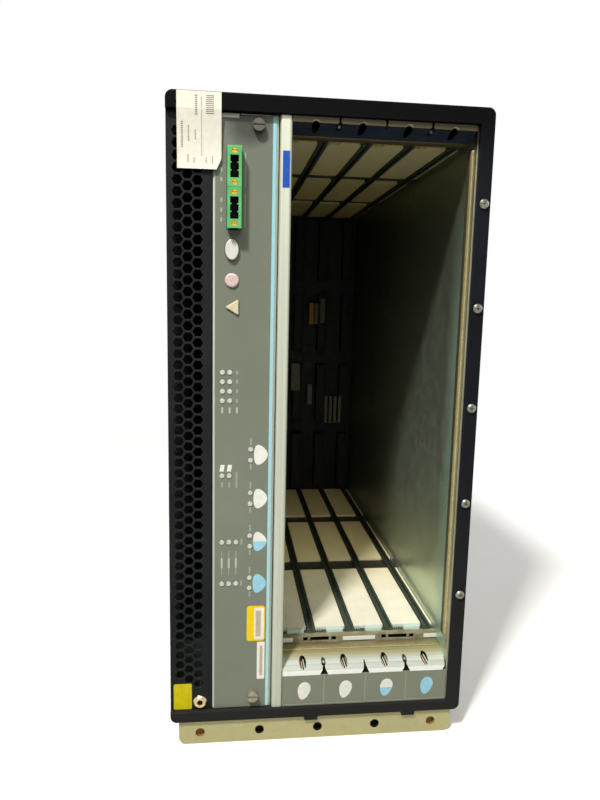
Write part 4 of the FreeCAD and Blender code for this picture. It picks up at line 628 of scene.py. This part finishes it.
def lens_finish(name, colour, dark):
    """Tinted lens: a glossy coat over a lightly ribbed, milky body."""
    finish = Finish(name, roughness=0.22, specular=0.5, coat=0.6)
    finish.rounded(0.4 * MM)
    finish.colour(finish.mottle(500.0, dark, colour, 0.35, 0.65, 3.0))
    finish.set("Subsurface Weight", 0.25)
    finish.shader.inputs["Subsurface Radius"].default_value = (1.5 * MM, 1.2 * MM, 1.0 * MM)
    return finish.bump(finish.noise(900.0, 1.0), 0.02 * MM, 0.4)


def foam_finish():
    """Open-cell filter foam: dark pores and pale clouds."""
    finish = Finish("filter_foam_cells", roughness=0.9, specular=0.15)
    pores = finish.cells(700.0)
    finish.colour(finish.mix(pores.fit(0.15, 0.55), (30, 31, 33), (66, 68, 72)))
    finish.cover(finish.noise(60.0, 4.0).fit(0.35, 0.7, 0.0, 0.4), (84, 84, 82))
    return finish.bump(pores, 0.6 * MM, 0.8)


# The finish of each material slot of the record
FINISHES = {
    "charcoal_bezel": bezel_finish(),
    "grille_black": painted("grille_paint", (34, 36, 38), (27, 29, 30), (66, 69, 72), specular=0.06),
    "zinc_sheet": zinc("zinc_plate", (150, 158, 147), (134, 142, 132), 0.2),
    "outer_sheet": zinc("outer_plate", (156, 159, 157), (136, 139, 138), 0.1, 120.0, (0.7, 0.85), 0.15),
    "ear_zinc": ear_finish(),
    "divider_metal": machined("divider_skin", (195, 199, 182), (180, 184, 168), (700.0, 700.0, 5.0), (0.4, 0.55), 0.3),
    "rail_aluminium": rail_finish(),
    "vent_cream": screen_finish(),
    "guide_dark": guide_finish(),
    "gasket_tan": slot_gasket_finish(),
    "label_grey": painted("label_film", (126, 130, 113), (119, 123, 107), (160, 163, 150), 2400.0, wear=0.3),
    "craft_grey": craft_finish(),
    "board_green": board_finish(),
    "connector_black": connector_finish(),
    "relay_green": relay_finish(),
    "screw_gold": machined("gold_screw", (236, 178, 62), (196, 138, 40), (600.0, 600.0, 600.0), (0.2, 0.34)),
    "screw_steel": machined("steel_screw", (186, 186, 178), (128, 128, 122), FINE, (0.22, 0.36)),
    "button_white": moulded("button_plastic", (206, 206, 199), (194, 194, 187), (0.3, 0.42), 0.45, 0.2),
    "lens_red": lens_finish("red_lens", (212, 190, 184), (200, 174, 168)),
    "lens_yellow": lens_finish("yellow_lens", (208, 203, 172), (196, 188, 152)),
    "lamp_clear": lens_finish("lamp_lens", (208, 211, 203), (192, 196, 188)),
    "fan_black": moulded("fan_plastic", (34, 35, 37), (25, 26, 28), (0.4, 0.55), light=(64, 66, 68)),
    "filter_foam": foam_finish(),
    "handle_steel": machined("handle_skin", (206, 206, 202), (164, 165, 162), (6.0, 700.0, 700.0), (0.24, 0.4)),
    "module_sheet": zinc("module_plate", (168, 170, 169), (148, 151, 150), 0.2, 140.0, (0.5, 0.65)),
}

# Nodes whose finish differs from their slot's
WALL = wall_finish()
OWN_FINISH = {
    "filter_side_slot_rail": filter_rail_finish(),
    "fan_bay_front": WALL,
    "fan_side_cage_wall": WALL,
    "filter_side_cage_wall": WALL,
    "bezel_screws": bezel_screw_finish(),
    "cage_base_panel": base_panel_finish(),
    "esd_jack": machined("jack_plate", (226, 210, 170), (176, 156, 116), (420.0, 60.0, 420.0), (0.2, 0.34)),
    "craft_captive_screws": captive_finish(),
}
for name, node in frame["nodes"].items():
    slot = node.data.materials[0].name.split(".")[0]
    node.data.materials[0] = OWN_FINISH.get(name, FINISHES[slot]).material

# Inks and label stock
INK_WHITE = printed("ink_white", (236, 236, 228), (224, 224, 217))
INK_BLUE = printed("ink_blue", (160, 212, 230), (146, 200, 220))
INK_STRIPE = stripe_finish()
INK_GREY = printed("ink_grey", (190, 194, 186), (176, 180, 172))
INK_FAINT = printed("ink_faint", (158, 163, 155), (148, 153, 145))
INK_BEIGE = printed("ink_beige", (196, 188, 168), (180, 172, 152))
INK_DARK = printed("ink_dark", (150, 146, 134), (136, 132, 120))
PAPER_WHITE = printed("paper_white", (224, 221, 208), (214, 211, 198), 0.7)
PAPER_LABEL = printed("paper_label", (244, 239, 228), (234, 229, 217), 0.6)
PAPER_YELLOW = printed("paper_yellow", (246, 214, 30), (238, 202, 20), 0.45)
PAPER_LEMON = printed("paper_lemon", (208, 196, 5), (192, 178, 3), 0.45)
TAPE_BLUE = printed("tape_blue", (24, 80, 178), (18, 68, 158), 0.35)
KEY_AMBER = printed("key_amber", (196, 144, 44), (168, 118, 28))
KEY_PALE = printed("key_pale", (108, 106, 86), (88, 87, 72))


def join(mesh, first, second):
    """Adds the band of faces between two loops of equal length."""
    count = len(first)
    for index in range(count):
        following = (index + 1) % count
        mesh.faces.new((first[index], first[following], second[following], second[index]))


def tube(mesh, rings):
    """Adds an open tube through rings of points of equal length, and returns its loops."""
    loops = [[mesh.verts.new(point) for point in ring] for ring in rings]
    for first, second in zip(loops, loops[1:]):
        join(mesh, first, second)
    return loops


def loft(mesh, rings):
    """Adds a tube with flat ends."""
    loops = tube(mesh, rings)
    mesh.faces.new(loops[0][::-1])
    mesh.faces.new(loops[-1])


def prism(mesh, outline, origin, across, up, depth):
    """Adds a closed prism: an outline in the plane of across and up, carried along depth."""
    near = [origin + across * a + up * b for a, b in outline]
    loft(mesh, (near, [corner + depth for corner in near]))


def sheets(mesh, rows, columns, point):
    """Adds two facing sheets joined along their rim; point(side, u, v) gives their corners, u and v from 0 to 1."""
    grids = []
    for side in (0, 1):
        grid = []
        for row in range(rows + 1):
            grid.append([mesh.verts.new(point(side, column / columns, row / rows)) for column in range(columns + 1)])
        for upper, lower in zip(grid, grid[1:]):
            for column in range(columns):
                mesh.faces.new((upper[column], upper[column + 1], lower[column + 1], lower[column]))
        grids.append(grid)
    rim = [(0, column) for column in range(columns)] + [(row, columns) for row in range(rows)]
    rim += [(rows, column) for column in range(columns, 0, -1)] + [(row, 0) for row in range(rows, 0, -1)]
    join(mesh, *([grid[row][column] for row, column in rim] for grid in grids))


def placed(name, data):
    """A new object of the scene."""
    made = bpy.data.objects.new(name, data)
    bpy.context.scene.collection.objects.link(made)
    return made


def built(name, mesh, finish, smooth=False):
    """Turns a finished bmesh into an object."""
    bmesh.ops.recalc_face_normals(mesh, faces=mesh.faces)
    data = bpy.data.meshes.new(name)
    mesh.to_mesh(data)
    mesh.free()
    if smooth:
        data.polygons.foreach_set("use_smooth", [True] * len(data.polygons))
    data.materials.append(finish.material)
    return placed(name, data)


def piece(name, mesh, finish, body="chassis", smooth=False):
    """Turns a finished bmesh into a piece that rides on a body."""
    made = built(name, mesh, finish, smooth)
    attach(made, body)
    return made


def oblong(wide, high, corner=0.0, steps=4):
    """Rectangle about the origin with rounded corners."""
    if corner <= 0:
        return [(-wide / 2, -high / 2), (wide / 2, -high / 2), (wide / 2, high / 2), (-wide / 2, high / 2)]
    outline = []
    for quarter, (x, z) in enumerate(((1, 1), (-1, 1), (-1, -1), (1, -1))):
        for step in range(steps + 1):
            turn = math.pi / 2 * (quarter + step / steps)
            across = x * (wide / 2 - corner) + corner * math.cos(turn)
            outline.append((across, z * (high / 2 - corner) + corner * math.sin(turn)))
    return outline


def moved(outline, x, z):
    return [(a + x, b + z) for a, b in outline]


def box_mm(x0, x1, z0, z1, corner=0.0):
    """Outline of a rectangle given by its limits in millimetres."""
    flat = oblong((x1 - x0) * MM, (z1 - z0) * MM, corner * MM)
    return moved(flat, (x0 + x1) / 2 * MM, (z0 + z1) / 2 * MM)


def egg(long, wide, turn, taper=0.2, steps=28):
    """Egg outline about the origin; turn is the direction of its narrow end."""
    outline = []
    for step in range(steps):
        angle = math.tau * step / steps
        along = long / 2 * math.cos(angle)
        side = wide / 2 * math.sin(angle) * (1 - taper * math.cos(angle))
        x = along * math.cos(turn) - side * math.sin(turn)
        outline.append((x, along * math.sin(turn) + side * math.cos(turn)))
    return outline


def pick(wide, high, bulge=0.1, steps=30):
    """Rounded three-sided outline about the origin, pointing right."""
    outline = []
    for step in range(steps):
        angle = math.tau * step / steps
        across = (math.cos(angle) + bulge * math.cos(2 * angle)) * wide / 2
        outline.append((across, (math.sin(angle) - bulge * math.sin(2 * angle)) * high / 2))
    return outline


def cut_at(outline, level, above):
    """The part of an outline above or below a level."""
    kept = []
    for first, second in zip(outline, outline[1:] + outline[:1]):
        inside = (first[1] >= level) == above
        if inside:
            kept.append(first)
        if inside != ((second[1] >= level) == above):
            share = (level - first[1]) / (second[1] - first[1])
            kept.append((first[0] + share * (second[0] - first[0]), level))
    return kept


def on_front(name, outlines, face, finish, thickness=PRINT):
    """A print or label of one or more outlines, in metres, on a surface that faces forward."""
    mesh = bmesh.new()
    for outline in outlines:
        prism(mesh, outline, Vector((0, face, 0)), ACROSS, UP, -BACK * thickness)
    piece(name, mesh, finish)


def slot_markers(name, shape, places, face):
    """One marker at each of four places: two white, one white over blue, one blue."""
    markers = [moved(shape, x, z) for x, z in places]
    level = places[2][1]
    on_front(name + "_white", markers[:2] + [cut_at(markers[2], level, True)], face, INK_WHITE)
    on_front(name + "_blue", [cut_at(markers[2], level, False), markers[3]], face, INK_BLUE)


def craft_prints():
    """Stripe, slot markers and lamp marks printed on the grey panel."""
    face, slot = CRAFT_LOW.y, "craft_grey"
    right, low, high = CRAFT_HIGH.x / MM, CRAFT_LOW.z / MM, CRAFT_HIGH.z / MM
    on_front("craft_stripe", [box_mm(right - 4.0, right - 1.7, low + 0.6, high - 0.6)], face, INK_STRIPE)
    places = [(-46.4 * MM, (125.4 + 32.2 * row) * MM) for row in (3, 2, 1, 0)]
    slot_markers("craft_markers", pick(9.8 * MM, 14.2 * MM), places, face)

    columns = (-73.3, -68.2, -63.1)
    strong, bright, faint = [], [], []

    def tick(where, x, z, wide, tall, lean=0.0):
        """A bar about a point, its top pushed sideways."""
        bar = [(a + lean if b > 0 else a, b) for a, b in oblong(wide, tall)]
        where.append([(a * MM, b * MM) for a, b in moved(bar, x, z)])

    for row in range(4):
        tick(faint, columns[2], 260.8 + 6.65 * row, 1.3, 2.6)
    for x in columns:
        tick(bright, x, 254.0, 1.2, 4.2)
        for side in (-1, 1):
            tick(faint, x, 141.6 + 6.6 * side, 0.7, 5.0)
        tick(bright, x, 141.6, 1.3, 7.6)
    for x in columns[:2]:
        tick(strong, x - 0.3, 212.4, 3.0, 4.8, 0.8)
        tick(faint, x, 200.2, 1.3, 3.8)
    tick(faint, columns[2], 203.8, 1.3, 11.6)
    for z in (125.8, 157.5):
        tick(faint, -59.2, z, 1.3, 4.4)
    for row in range(SLOTS):
        z = 126.1 + 32.0 * row
        tick(faint, -53.1, z + 9.6, 1.2, 5.0)
        tick(faint, -53.1, z - 8.6, 1.2, 4.0)
    for foot, top in ((378.6, 400.8), (404.6, 426.8)):
        middle = (foot + top) / 2
        for pole in (-1, 0, 1):
            tick(faint, -74.4, middle + 6.4 * pole, 1.3, 2.6)
        tick(faint, -58.6, middle, 0.6, top - foot)
    tick(bright, -51.6, high - 0.5, 20.0, 0.5)
    on_front("craft_marks_strong", strong, face, INK_WHITE)
    on_front("craft_marks_bright", bright, face, INK_GREY)
    on_front("craft_marks_faint", faint, face, INK_FAINT)


def label_prints():
    """Cell borders and slot markers on the label strip."""
    face, slot = LABEL_LOW.y, "label_grey"
    edge = 0.5 * MM
    low, high = LABEL_LOW.z + 1.6 * MM, LABEL_HIGH.z - 0.4 * MM
    upright, level = oblong(edge, high - low), oblong(CAGE_RIGHT - CAGE_LEFT - 2 * edge, edge)
    lines = [moved(upright, CAGE_LEFT + cell * SLOT_PITCH, (low + high) / 2) for cell in range(1, SLOTS)]
    lines.append(moved(level, (CAGE_LEFT + CAGE_RIGHT) / 2, low - edge / 2))
    on_front("label_borders", lines, face, INK_FAINT)
    places = [(CAGE_LEFT + (cell + 0.5) * SLOT_PITCH + 0.5 * MM, 39.3 * MM) for cell in range(SLOTS)]
    slot_markers("label_markers", egg(14.4 * MM, 9.4 * MM, math.radians(258)), places, face)


def stickers():
    """Plain stickers on the panel and the grille, and the tape on the divider's nose."""
    panel = CRAFT_LOW.y
    paper = panel - PAPER
    for name, limits, face, finish, slot, thickness in (
        ("asset_sticker", (-54.8, -41.4, 80.4, 107.9, 2.0), panel, PAPER_YELLOW, "craft_grey", PAPER),
        ("asset_sticker_field", (-49.4, -42.2, 81.8, 106.4, 0.6), paper, PAPER_LABEL, "craft_grey", PRINT),
        ("asset_sticker_block", (-48.2, -44.4, 84.0, 104.0), paper - PRINT, INK_BEIGE, "craft_grey", PRINT),
        ("strip_sticker", (-47.0, -41.3, 49.6, 79.4, 0.8), panel, PAPER_LABEL, "craft_grey", PAPER),
        ("strip_sticker_line", (-45.0, -42.9, 52.4, 76.4), paper, INK_BEIGE, "craft_grey", PRINT),
        ("panel_top_label", (-74.2, -62.8, 448.4, 451.0, 0.4), panel, PAPER_WHITE, "craft_grey", PAPER),
        ("grille_sticker", (-108.3, -95.0, 27.6, 48.0, 1.0), GRILLE_FRONT, PAPER_LEMON, "grille_black", PAPER),
        ("divider_tape", (-33.9, -29.2, 405.3, 428.9, 0.4), DIVIDER_FRONT, TAPE_BLUE, "divider_metal", TAPE),
    ):
        on_front(name, [box_mm(*limits)], face, finish, thickness)


def paper_tag():
    """Paper tag stuck to the top rim, hanging down over the grille with a slight curl and one clipped corner."""
    left, right, top, bottom = -103.2, -74.4, 462.4, 414.9
    clip_wide, clip_high = 3.2, 6.6
    rim_bottom = 451.8
    thickness, ink = 0.15, 0.06
    seat, sag, curl = -0.02, 3.2, 1.5

    def depth(z, share):
        if z >= rim_bottom:
            return seat
        fall = (rim_bottom - z) / (rim_bottom - bottom)
        return seat + sag * math.sin(fall * math.pi / 2) - curl * fall ** 3 * (0.4 + 0.6 * share)

    def corner(side, u, v):
        z = top + (bottom - top) * v
        end = right - clip_wide * max(0.0, 1 - (z - bottom) / clip_high)
        return at(left + (end - left) * u, depth(z, u) - side * thickness, z)

    mesh = bmesh.new()
    sheets(mesh, 18, 12, corner)
    piece("paper_tag", mesh, PAPER_WHITE)

    # Bars of a plain code, columns of short dashes and one long rule: left, right, low and high limits
    bars = [(-84.4, -79.2, 459.6 - 1.2 * index, 460.2 - 1.2 * index) for index in range(10)]
    for x, wide, start, end in (
        (-90.6, 1.5, 460.0, 448.0), (-99.9, 1.3, 443.9, 428.0), (-95.7, 0.9, 441.4, 431.6), (-91.3, 0.9, 439.0, 432.8),
        (-96.1, 1.0, 423.6, 418.7), (-92.1, 1.0, 421.8, 418.1), (-84.3, 1.0, 422.0, 418.7), (-80.2, 1.0, 423.0, 418.1),
    ):
        z = start
        while z > end:
            bars.append((x - wide / 2, x + wide / 2, z - 0.75, z))
            z -= 1.25
    bars += [(-87.4, -87.0, z - 3.0, z) for z in range(426, 460, 3)]
    mesh = bmesh.new()
    for x0, x1, z0, z1 in bars:
        rings = []
        for lift in (thickness, thickness + ink):
            corners = ((x0, z0), (x1, z0), (x1, z1), (x0, z1))
            rings.append([at(x, depth(z, (x - left) / (right - left)) - lift, z) for x, z in corners])
        loft(mesh, rings)
    piece("paper_tag_prints", mesh, INK_DARK)


def midplane_labels():
    """Small coloured keys and labels between and on the connector columns."""
    amber = [box_mm(37.6, 43.0, 302.0, 330.0)]
    on_front("midplane_key_amber", amber, CONNECTOR_FRONT, KEY_AMBER, KEY)
    keys = [box_mm(44.4, 49.0, 302.0, 330.0), box_mm(52.2, 58.0, 304.0, 336.0)]
    keys += [box_mm(15.0, 26.4, 212.8, 249.0), box_mm(37.6, 43.4, 194.0, 221.0)]
    keys += [box_mm(61.4 + 6.2 * index, 65.0 + 6.2 * index, 168.3, 205.1) for index in range(4)]
    on_front("midplane_keys", keys, CONNECTOR_FRONT, KEY_PALE, KEY)


def strip(mesh, start, along, inward, section, turns):
    """Adds a cloth-covered gasket strip of D section, with a slight ripple along it."""
    wide, thick = section
    across = along.cross(inward).normalized()
    steps, arc = turns * 6, 12
    waviness, fullness, roundness = 0.05, 0.94, 0.55
    rings = []
    for step in range(steps + 1):
        share = step / steps
        ripple = 1.0 + waviness * noise.noise(Vector((share * turns, start.x * 50, start.z * 50)))
        ring = []
        for index in range(arc + 1):
            angle = math.pi * index / arc
            side = -math.cos(angle) * wide / 2
            lift = (math.sin(angle) ** roundness) * thick * min(1.0, ripple * fullness)
            ring.append(start + along * share + across * side + inward * lift)
        rings.append(ring)
    loft(mesh, rings)


def gaskets():
    """Gasket strips beside the card cage's opening, rounded as cloth over foam is."""
    low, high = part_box("base_gasket")
    start = Vector((high.x, (low.y + high.y) / 2, low.z))
    mesh = bmesh.new()
    strip(mesh, start, UP * (high.z - low.z), -ACROSS, (high.y - low.y, high.x - low.x), turns=40)
    made = piece("base_gasket_cloth", mesh, base_gasket_finish(), smooth=True)
    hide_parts("base_gasket")
    low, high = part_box("slot_gaskets")
    section = (high.y - low.y, 1.5 * MM)
    mesh = bmesh.new()
    for z, inward in ((low.z, UP), (high.z, -UP)):
        start = Vector((low.x, (low.y + high.y) / 2, z))
        strip(mesh, start, ACROSS * (high.x - low.x), inward, section, turns=16)
    made = piece("slot_gasket_cloth", mesh, FINISHES["gasket_tan"], smooth=True)
    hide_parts("slot_gaskets")


def filter_pad():
    """Filter foam, dimpled on both faces and soft along its rim, in place of the plain CAD pad."""
    low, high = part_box("filter_media")
    wide, long, half = high.x - low.x, high.y - low.y, (high.z - low.z) / 2
    columns, rows = 56, 160
    soft_rim, dimple_depth = 4 * MM, 1.0 * MM

    def corner(side, u, v):
        rim = min(min(u, 1 - u) * wide, min(v, 1 - v) * long)
        soft = min(1.0, rim / soft_rim) ** 0.5
        dimple = 0.5 + 0.5 * math.sin(u * columns * math.pi / 2) * math.sin(v * rows * math.pi / 2)
        lift = half * (0.55 + 0.45 * soft) - dimple_depth * dimple * soft
        return low.x + u * wide, low.y + v * long, (low.z + high.z) / 2 + (lift if side else -lift)

    mesh = bmesh.new()
    sheets(mesh, rows, columns, corner)
    made = piece("filter_foam_pad", mesh, FINISHES["filter_foam"], "air_filter", smooth=True)
    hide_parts("filter_media")


def screw_head(mesh, centre, out, radius, height, recess):
    """Adds a low domed screw head with a cross recess, standing on a surface."""
    side = out.orthogonal().normalized()
    other = out.cross(side)
    steps, count = 32, 7
    recess_reach, recess_depth, root = 0.62, 0.7 * height, 0.3 * MM
    rings = []
    for number in range(1, count + 1):
        share = number / count
        ring = []
        for step in range(steps):
            angle = math.tau * step / steps
            a, b = math.cos(angle) * radius * share, math.sin(angle) * radius * share
            lift = height * math.sqrt(max(0.0, 1 - share ** 3))
            if share < recess_reach and min(abs(a), abs(b)) < recess * radius:
                lift -= recess_depth
            ring.append(centre + side * a + other * b + out * lift)
        rings.append(ring)
    rings.append([point - out * root for point in rings[-1]])
    loops = tube(mesh, rings)
    hub = mesh.verts.new(centre + out * (height - recess_depth))
    for step in range(steps):
        mesh.faces.new((hub, loops[0][step], loops[0][(step + 1) % steps]))
    mesh.faces.new(loops[-1][::-1])


def cover_screws():
    """Low cross-recess screws along the long edges of the two outer covers."""
    count, inset, margin = 6, 7 * MM, 40 * MM
    for name, out in (("top_cover", -ACROSS), ("base_pan", ACROSS)):
        low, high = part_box(name)
        face = low.x if out.x < 0 else high.x
        mesh = bmesh.new()
        for z in (low.z + inset, high.z - inset):
            for index in range(count):
                y = low.y + margin + (high.y - low.y - 2 * margin) * index / (count - 1)
                screw_head(mesh, Vector((face, y, z)), out, radius=3.4 * MM, height=0.9 * MM, recess=0.16)
        piece(name + "_screws", mesh, FINISHES["screw_steel"])


def rail_pins():
    """Alignment pins in the small holes of the slot rails."""
    steps, faces = 20, (7.4, 6.0)
    turns = [math.tau * step / steps for step in range(steps)]
    mesh = bmesh.new()
    for z, face in zip(RAIL_HOLES, faces):
        for slot in (1, 3):
            x = CAGE_LEFT / MM + slot * SLOT_PITCH / MM
            rings = []
            for y, radius in ((face + 14.0, 1.55), (face + 1.2, 1.55), (face + 0.4, 1.25), (face, 0.7)):
                rings.append([at(x + radius * math.cos(t), y, z / MM + radius * math.sin(t)) for t in turns])
            loft(mesh, rings)
    piece("rail_pins", mesh, pin_finish())


def inlet_liners():
    """Black moulded collars in the power modules' inlets."""
    outer = oblong(39 * MM, 31 * MM, 3 * MM)
    inner = oblong(33.4 * MM, 25.4 * MM, 1.5 * MM)
    outside = [(a * 1.012, b * 1.012) for a, b in inner]
    inlet_x, deep = -76 * MM, -17.0
    section = ((outer, 0.0), (outer, 1.2), (inner, 1.6), (inner, deep), (outside, deep), (outside, 0.0))
    for number in (1, 2):
        body = f"power_module_{number}"
        low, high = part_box(body)
        middle = Vector((inlet_x, high.y, (low.z + high.z) / 2))
        mesh = bmesh.new()
        rings = [[middle + ACROSS * a + UP * b + BACK * depth * MM for a, b in outline] for outline, depth in section]
        loops = tube(mesh, rings)
        join(mesh, loops[-1], loops[0])
        piece(f"power_inlet_collar_{number}", mesh, FINISHES["fan_black"], body)


craft_prints()
label_prints()
stickers()
paper_tag()
midplane_labels()
gaskets()
filter_pad()
cover_screws()
rail_pins()
inlet_liners()


def seen(tree):
    """1 for the rays by which the camera, metal and glass see the stage, 0 for those that light the object."""
    path = tree.nodes.new("ShaderNodeLightPath")
    value = path.outputs["Is Camera Ray"]
    for kind in ("Is Glossy Ray", "Is Transmission Ray"):
        either = tree.nodes.new("ShaderNodeMath")
        either.operation = "MAXIMUM"
        tree.links.new(value, either.inputs[0])
        tree.links.new(path.outputs[kind], either.inputs[1])
        value = either.outputs["Value"]
    return value


def floor_finish():
    """Pale floor that keeps the shadow near the object and fades to white for the camera further out."""
    finish = Finish("floor_pale", roughness=0.8, specular=0.2)
    shown = Field(finish, seen(finish.tree))
    pale = finish.mottle(6.0, (0.86, 0.86, 0.85, 1), (0.9, 0.9, 0.9, 1))
    finish.colour(finish.mix(shown, (0.22, 0.22, 0.22, 1), pale))
    reach = finish.add("ShaderNodeVectorMath", operation="LENGTH")
    finish.link(finish.place, reach.inputs[0])
    blend = finish.add("ShaderNodeMixShader")
    finish.give(blend.inputs["Fac"], Field(finish, reach.outputs["Value"]).fit(0.35, 0.95) * shown)
    finish.link(finish.shader.outputs["BSDF"], blend.inputs[1])
    finish.link(finish.add("ShaderNodeEmission").outputs["Emission"], blend.inputs[2])
    finish.link(blend.outputs["Shader"], finish.output.inputs["Surface"])
    return finish


def stand(name, outline, middle, height, finish):
    """A block of the stage under the chassis."""
    mesh = bmesh.new()
    prism(mesh, outline, middle, ACROSS, BACK, UP * height)
    built(name, mesh, finish)


def stage():
    """Floor, a plinth under the chassis behind the ear's leg, a dark block behind the ear's middle holes that stands
    in for shade, and brown blocks behind its outer holes.
    """
    mesh = bmesh.new()
    mesh.faces.new([mesh.verts.new((x, y, 0)) for x, y in oblong(60.0, 60.0)])
    built("floor", mesh, floor_finish())
    ear_low, ear_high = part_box("rack_ear")
    wall_low, wall_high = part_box("fan_side_wall")
    inset, gap, block_height = 30 * MM, 5 * MM, 14 * MM
    outline = oblong(wall_high.x - wall_low.x - inset, wall_high.y - ear_high.y - inset, 8 * MM)
    pale = moulded("plinth_pale", (0.82, 0.82, 0.81, 1), (0.78, 0.78, 0.77, 1))
    stand("plinth", outline, Vector((0, (ear_high.y + wall_high.y) / 2, 0)), wall_low.z, pale)
    # Painted shade: a dark block put behind the ear's middle holes.
    dark = moulded("block_painted_shade", (24, 20, 14), (16, 13, 9))
    brown = moulded("block_brown", (190, 148, 92), (166, 124, 72))
    for name, x, wide, deep, finish in (
        ("block_middle", 0, 140, 30, dark), ("block_left", -89, 20, 10, brown), ("block_right", 89, 20, 10, brown),
    ):
        middle = Vector((x * MM, ear_low.y + gap + deep / 2 * MM, 0))
        stand(name, oblong(wide * MM, deep * MM, 2 * MM), middle, block_height, finish)


def world():
    """White for what the camera, metal and glass see; a soft grey sky for the light on the object."""
    sky = bpy.data.worlds.new("studio")
    bpy.context.scene.world = sky
    sky.use_nodes = True
    tree = sky.node_tree
    tree.nodes.clear()
    blend = tree.nodes.new("ShaderNodeMixShader")
    tree.links.new(seen(tree), blend.inputs["Fac"])
    for socket, colour, strength in ((1, (0.96, 0.98, 1.0, 1.0), 0.06), (2, (1.0, 1.0, 1.0, 1.0), 1.0)):
        shade = tree.nodes.new("ShaderNodeBackground")
        shade.inputs["Color"].default_value = colour
        shade.inputs["Strength"].default_value = strength
        tree.links.new(shade.outputs["Background"], blend.inputs[socket])
    output = tree.nodes.new("ShaderNodeOutputWorld")
    tree.links.new(blend.outputs["Shader"], output.inputs["Surface"])


def lamp(name, direction, distance, size, power, colour=(1.0, 1.0, 1.0)):
    """Square soft box at a distance from the chassis' middle, facing it."""
    light = bpy.data.lights.new(name, "AREA")
    light.size = size
    light.energy = power
    light.color = colour
    holder = placed(name, light)
    direction = Vector(direction).normalized()
    holder.location = MIDDLE + direction * distance
    holder.rotation_euler = direction.to_track_quat("Z", "Y").to_euler()


def camera():
    """The photo's viewpoint: a wide lens in front of the craft panel, looking a little down and to the right."""
    lens = bpy.data.cameras.new("photo_camera")
    lens.sensor_width = 36.0
    lens.lens = 28.796
    lens.clip_start = 0.01
    holder = placed("photo_camera", lens)
    holder.location = (-0.06911, -0.76274, 0.32888)
    holder.rotation_euler = [math.radians(angle) for angle in (81.435, -1.238, -6.277)]
    bpy.context.scene.camera = holder


stage()
world()
lamp("key", (-0.48, -1.0, 1.26), 2.0, 0.18, 46.0, (1.0, 0.99, 0.96))
lamp("front_fill", (0.06, -1.0, 0.72), 2.4, 1.4, 18.0, (1.0, 0.94, 0.78))
lamp("left_fill", (-1.0, 0.45, 0.35), 2.4, 1.6, 20.0)
lamp("right_fill", (1.0, 0.45, 0.35), 2.4, 1.6, 26.0)
lamp("back_fill", (0.3, 1.0, 0.5), 2.6, 1.8, 26.0)
camera()
bpy.context.scene.view_settings.view_transform = "Standard"
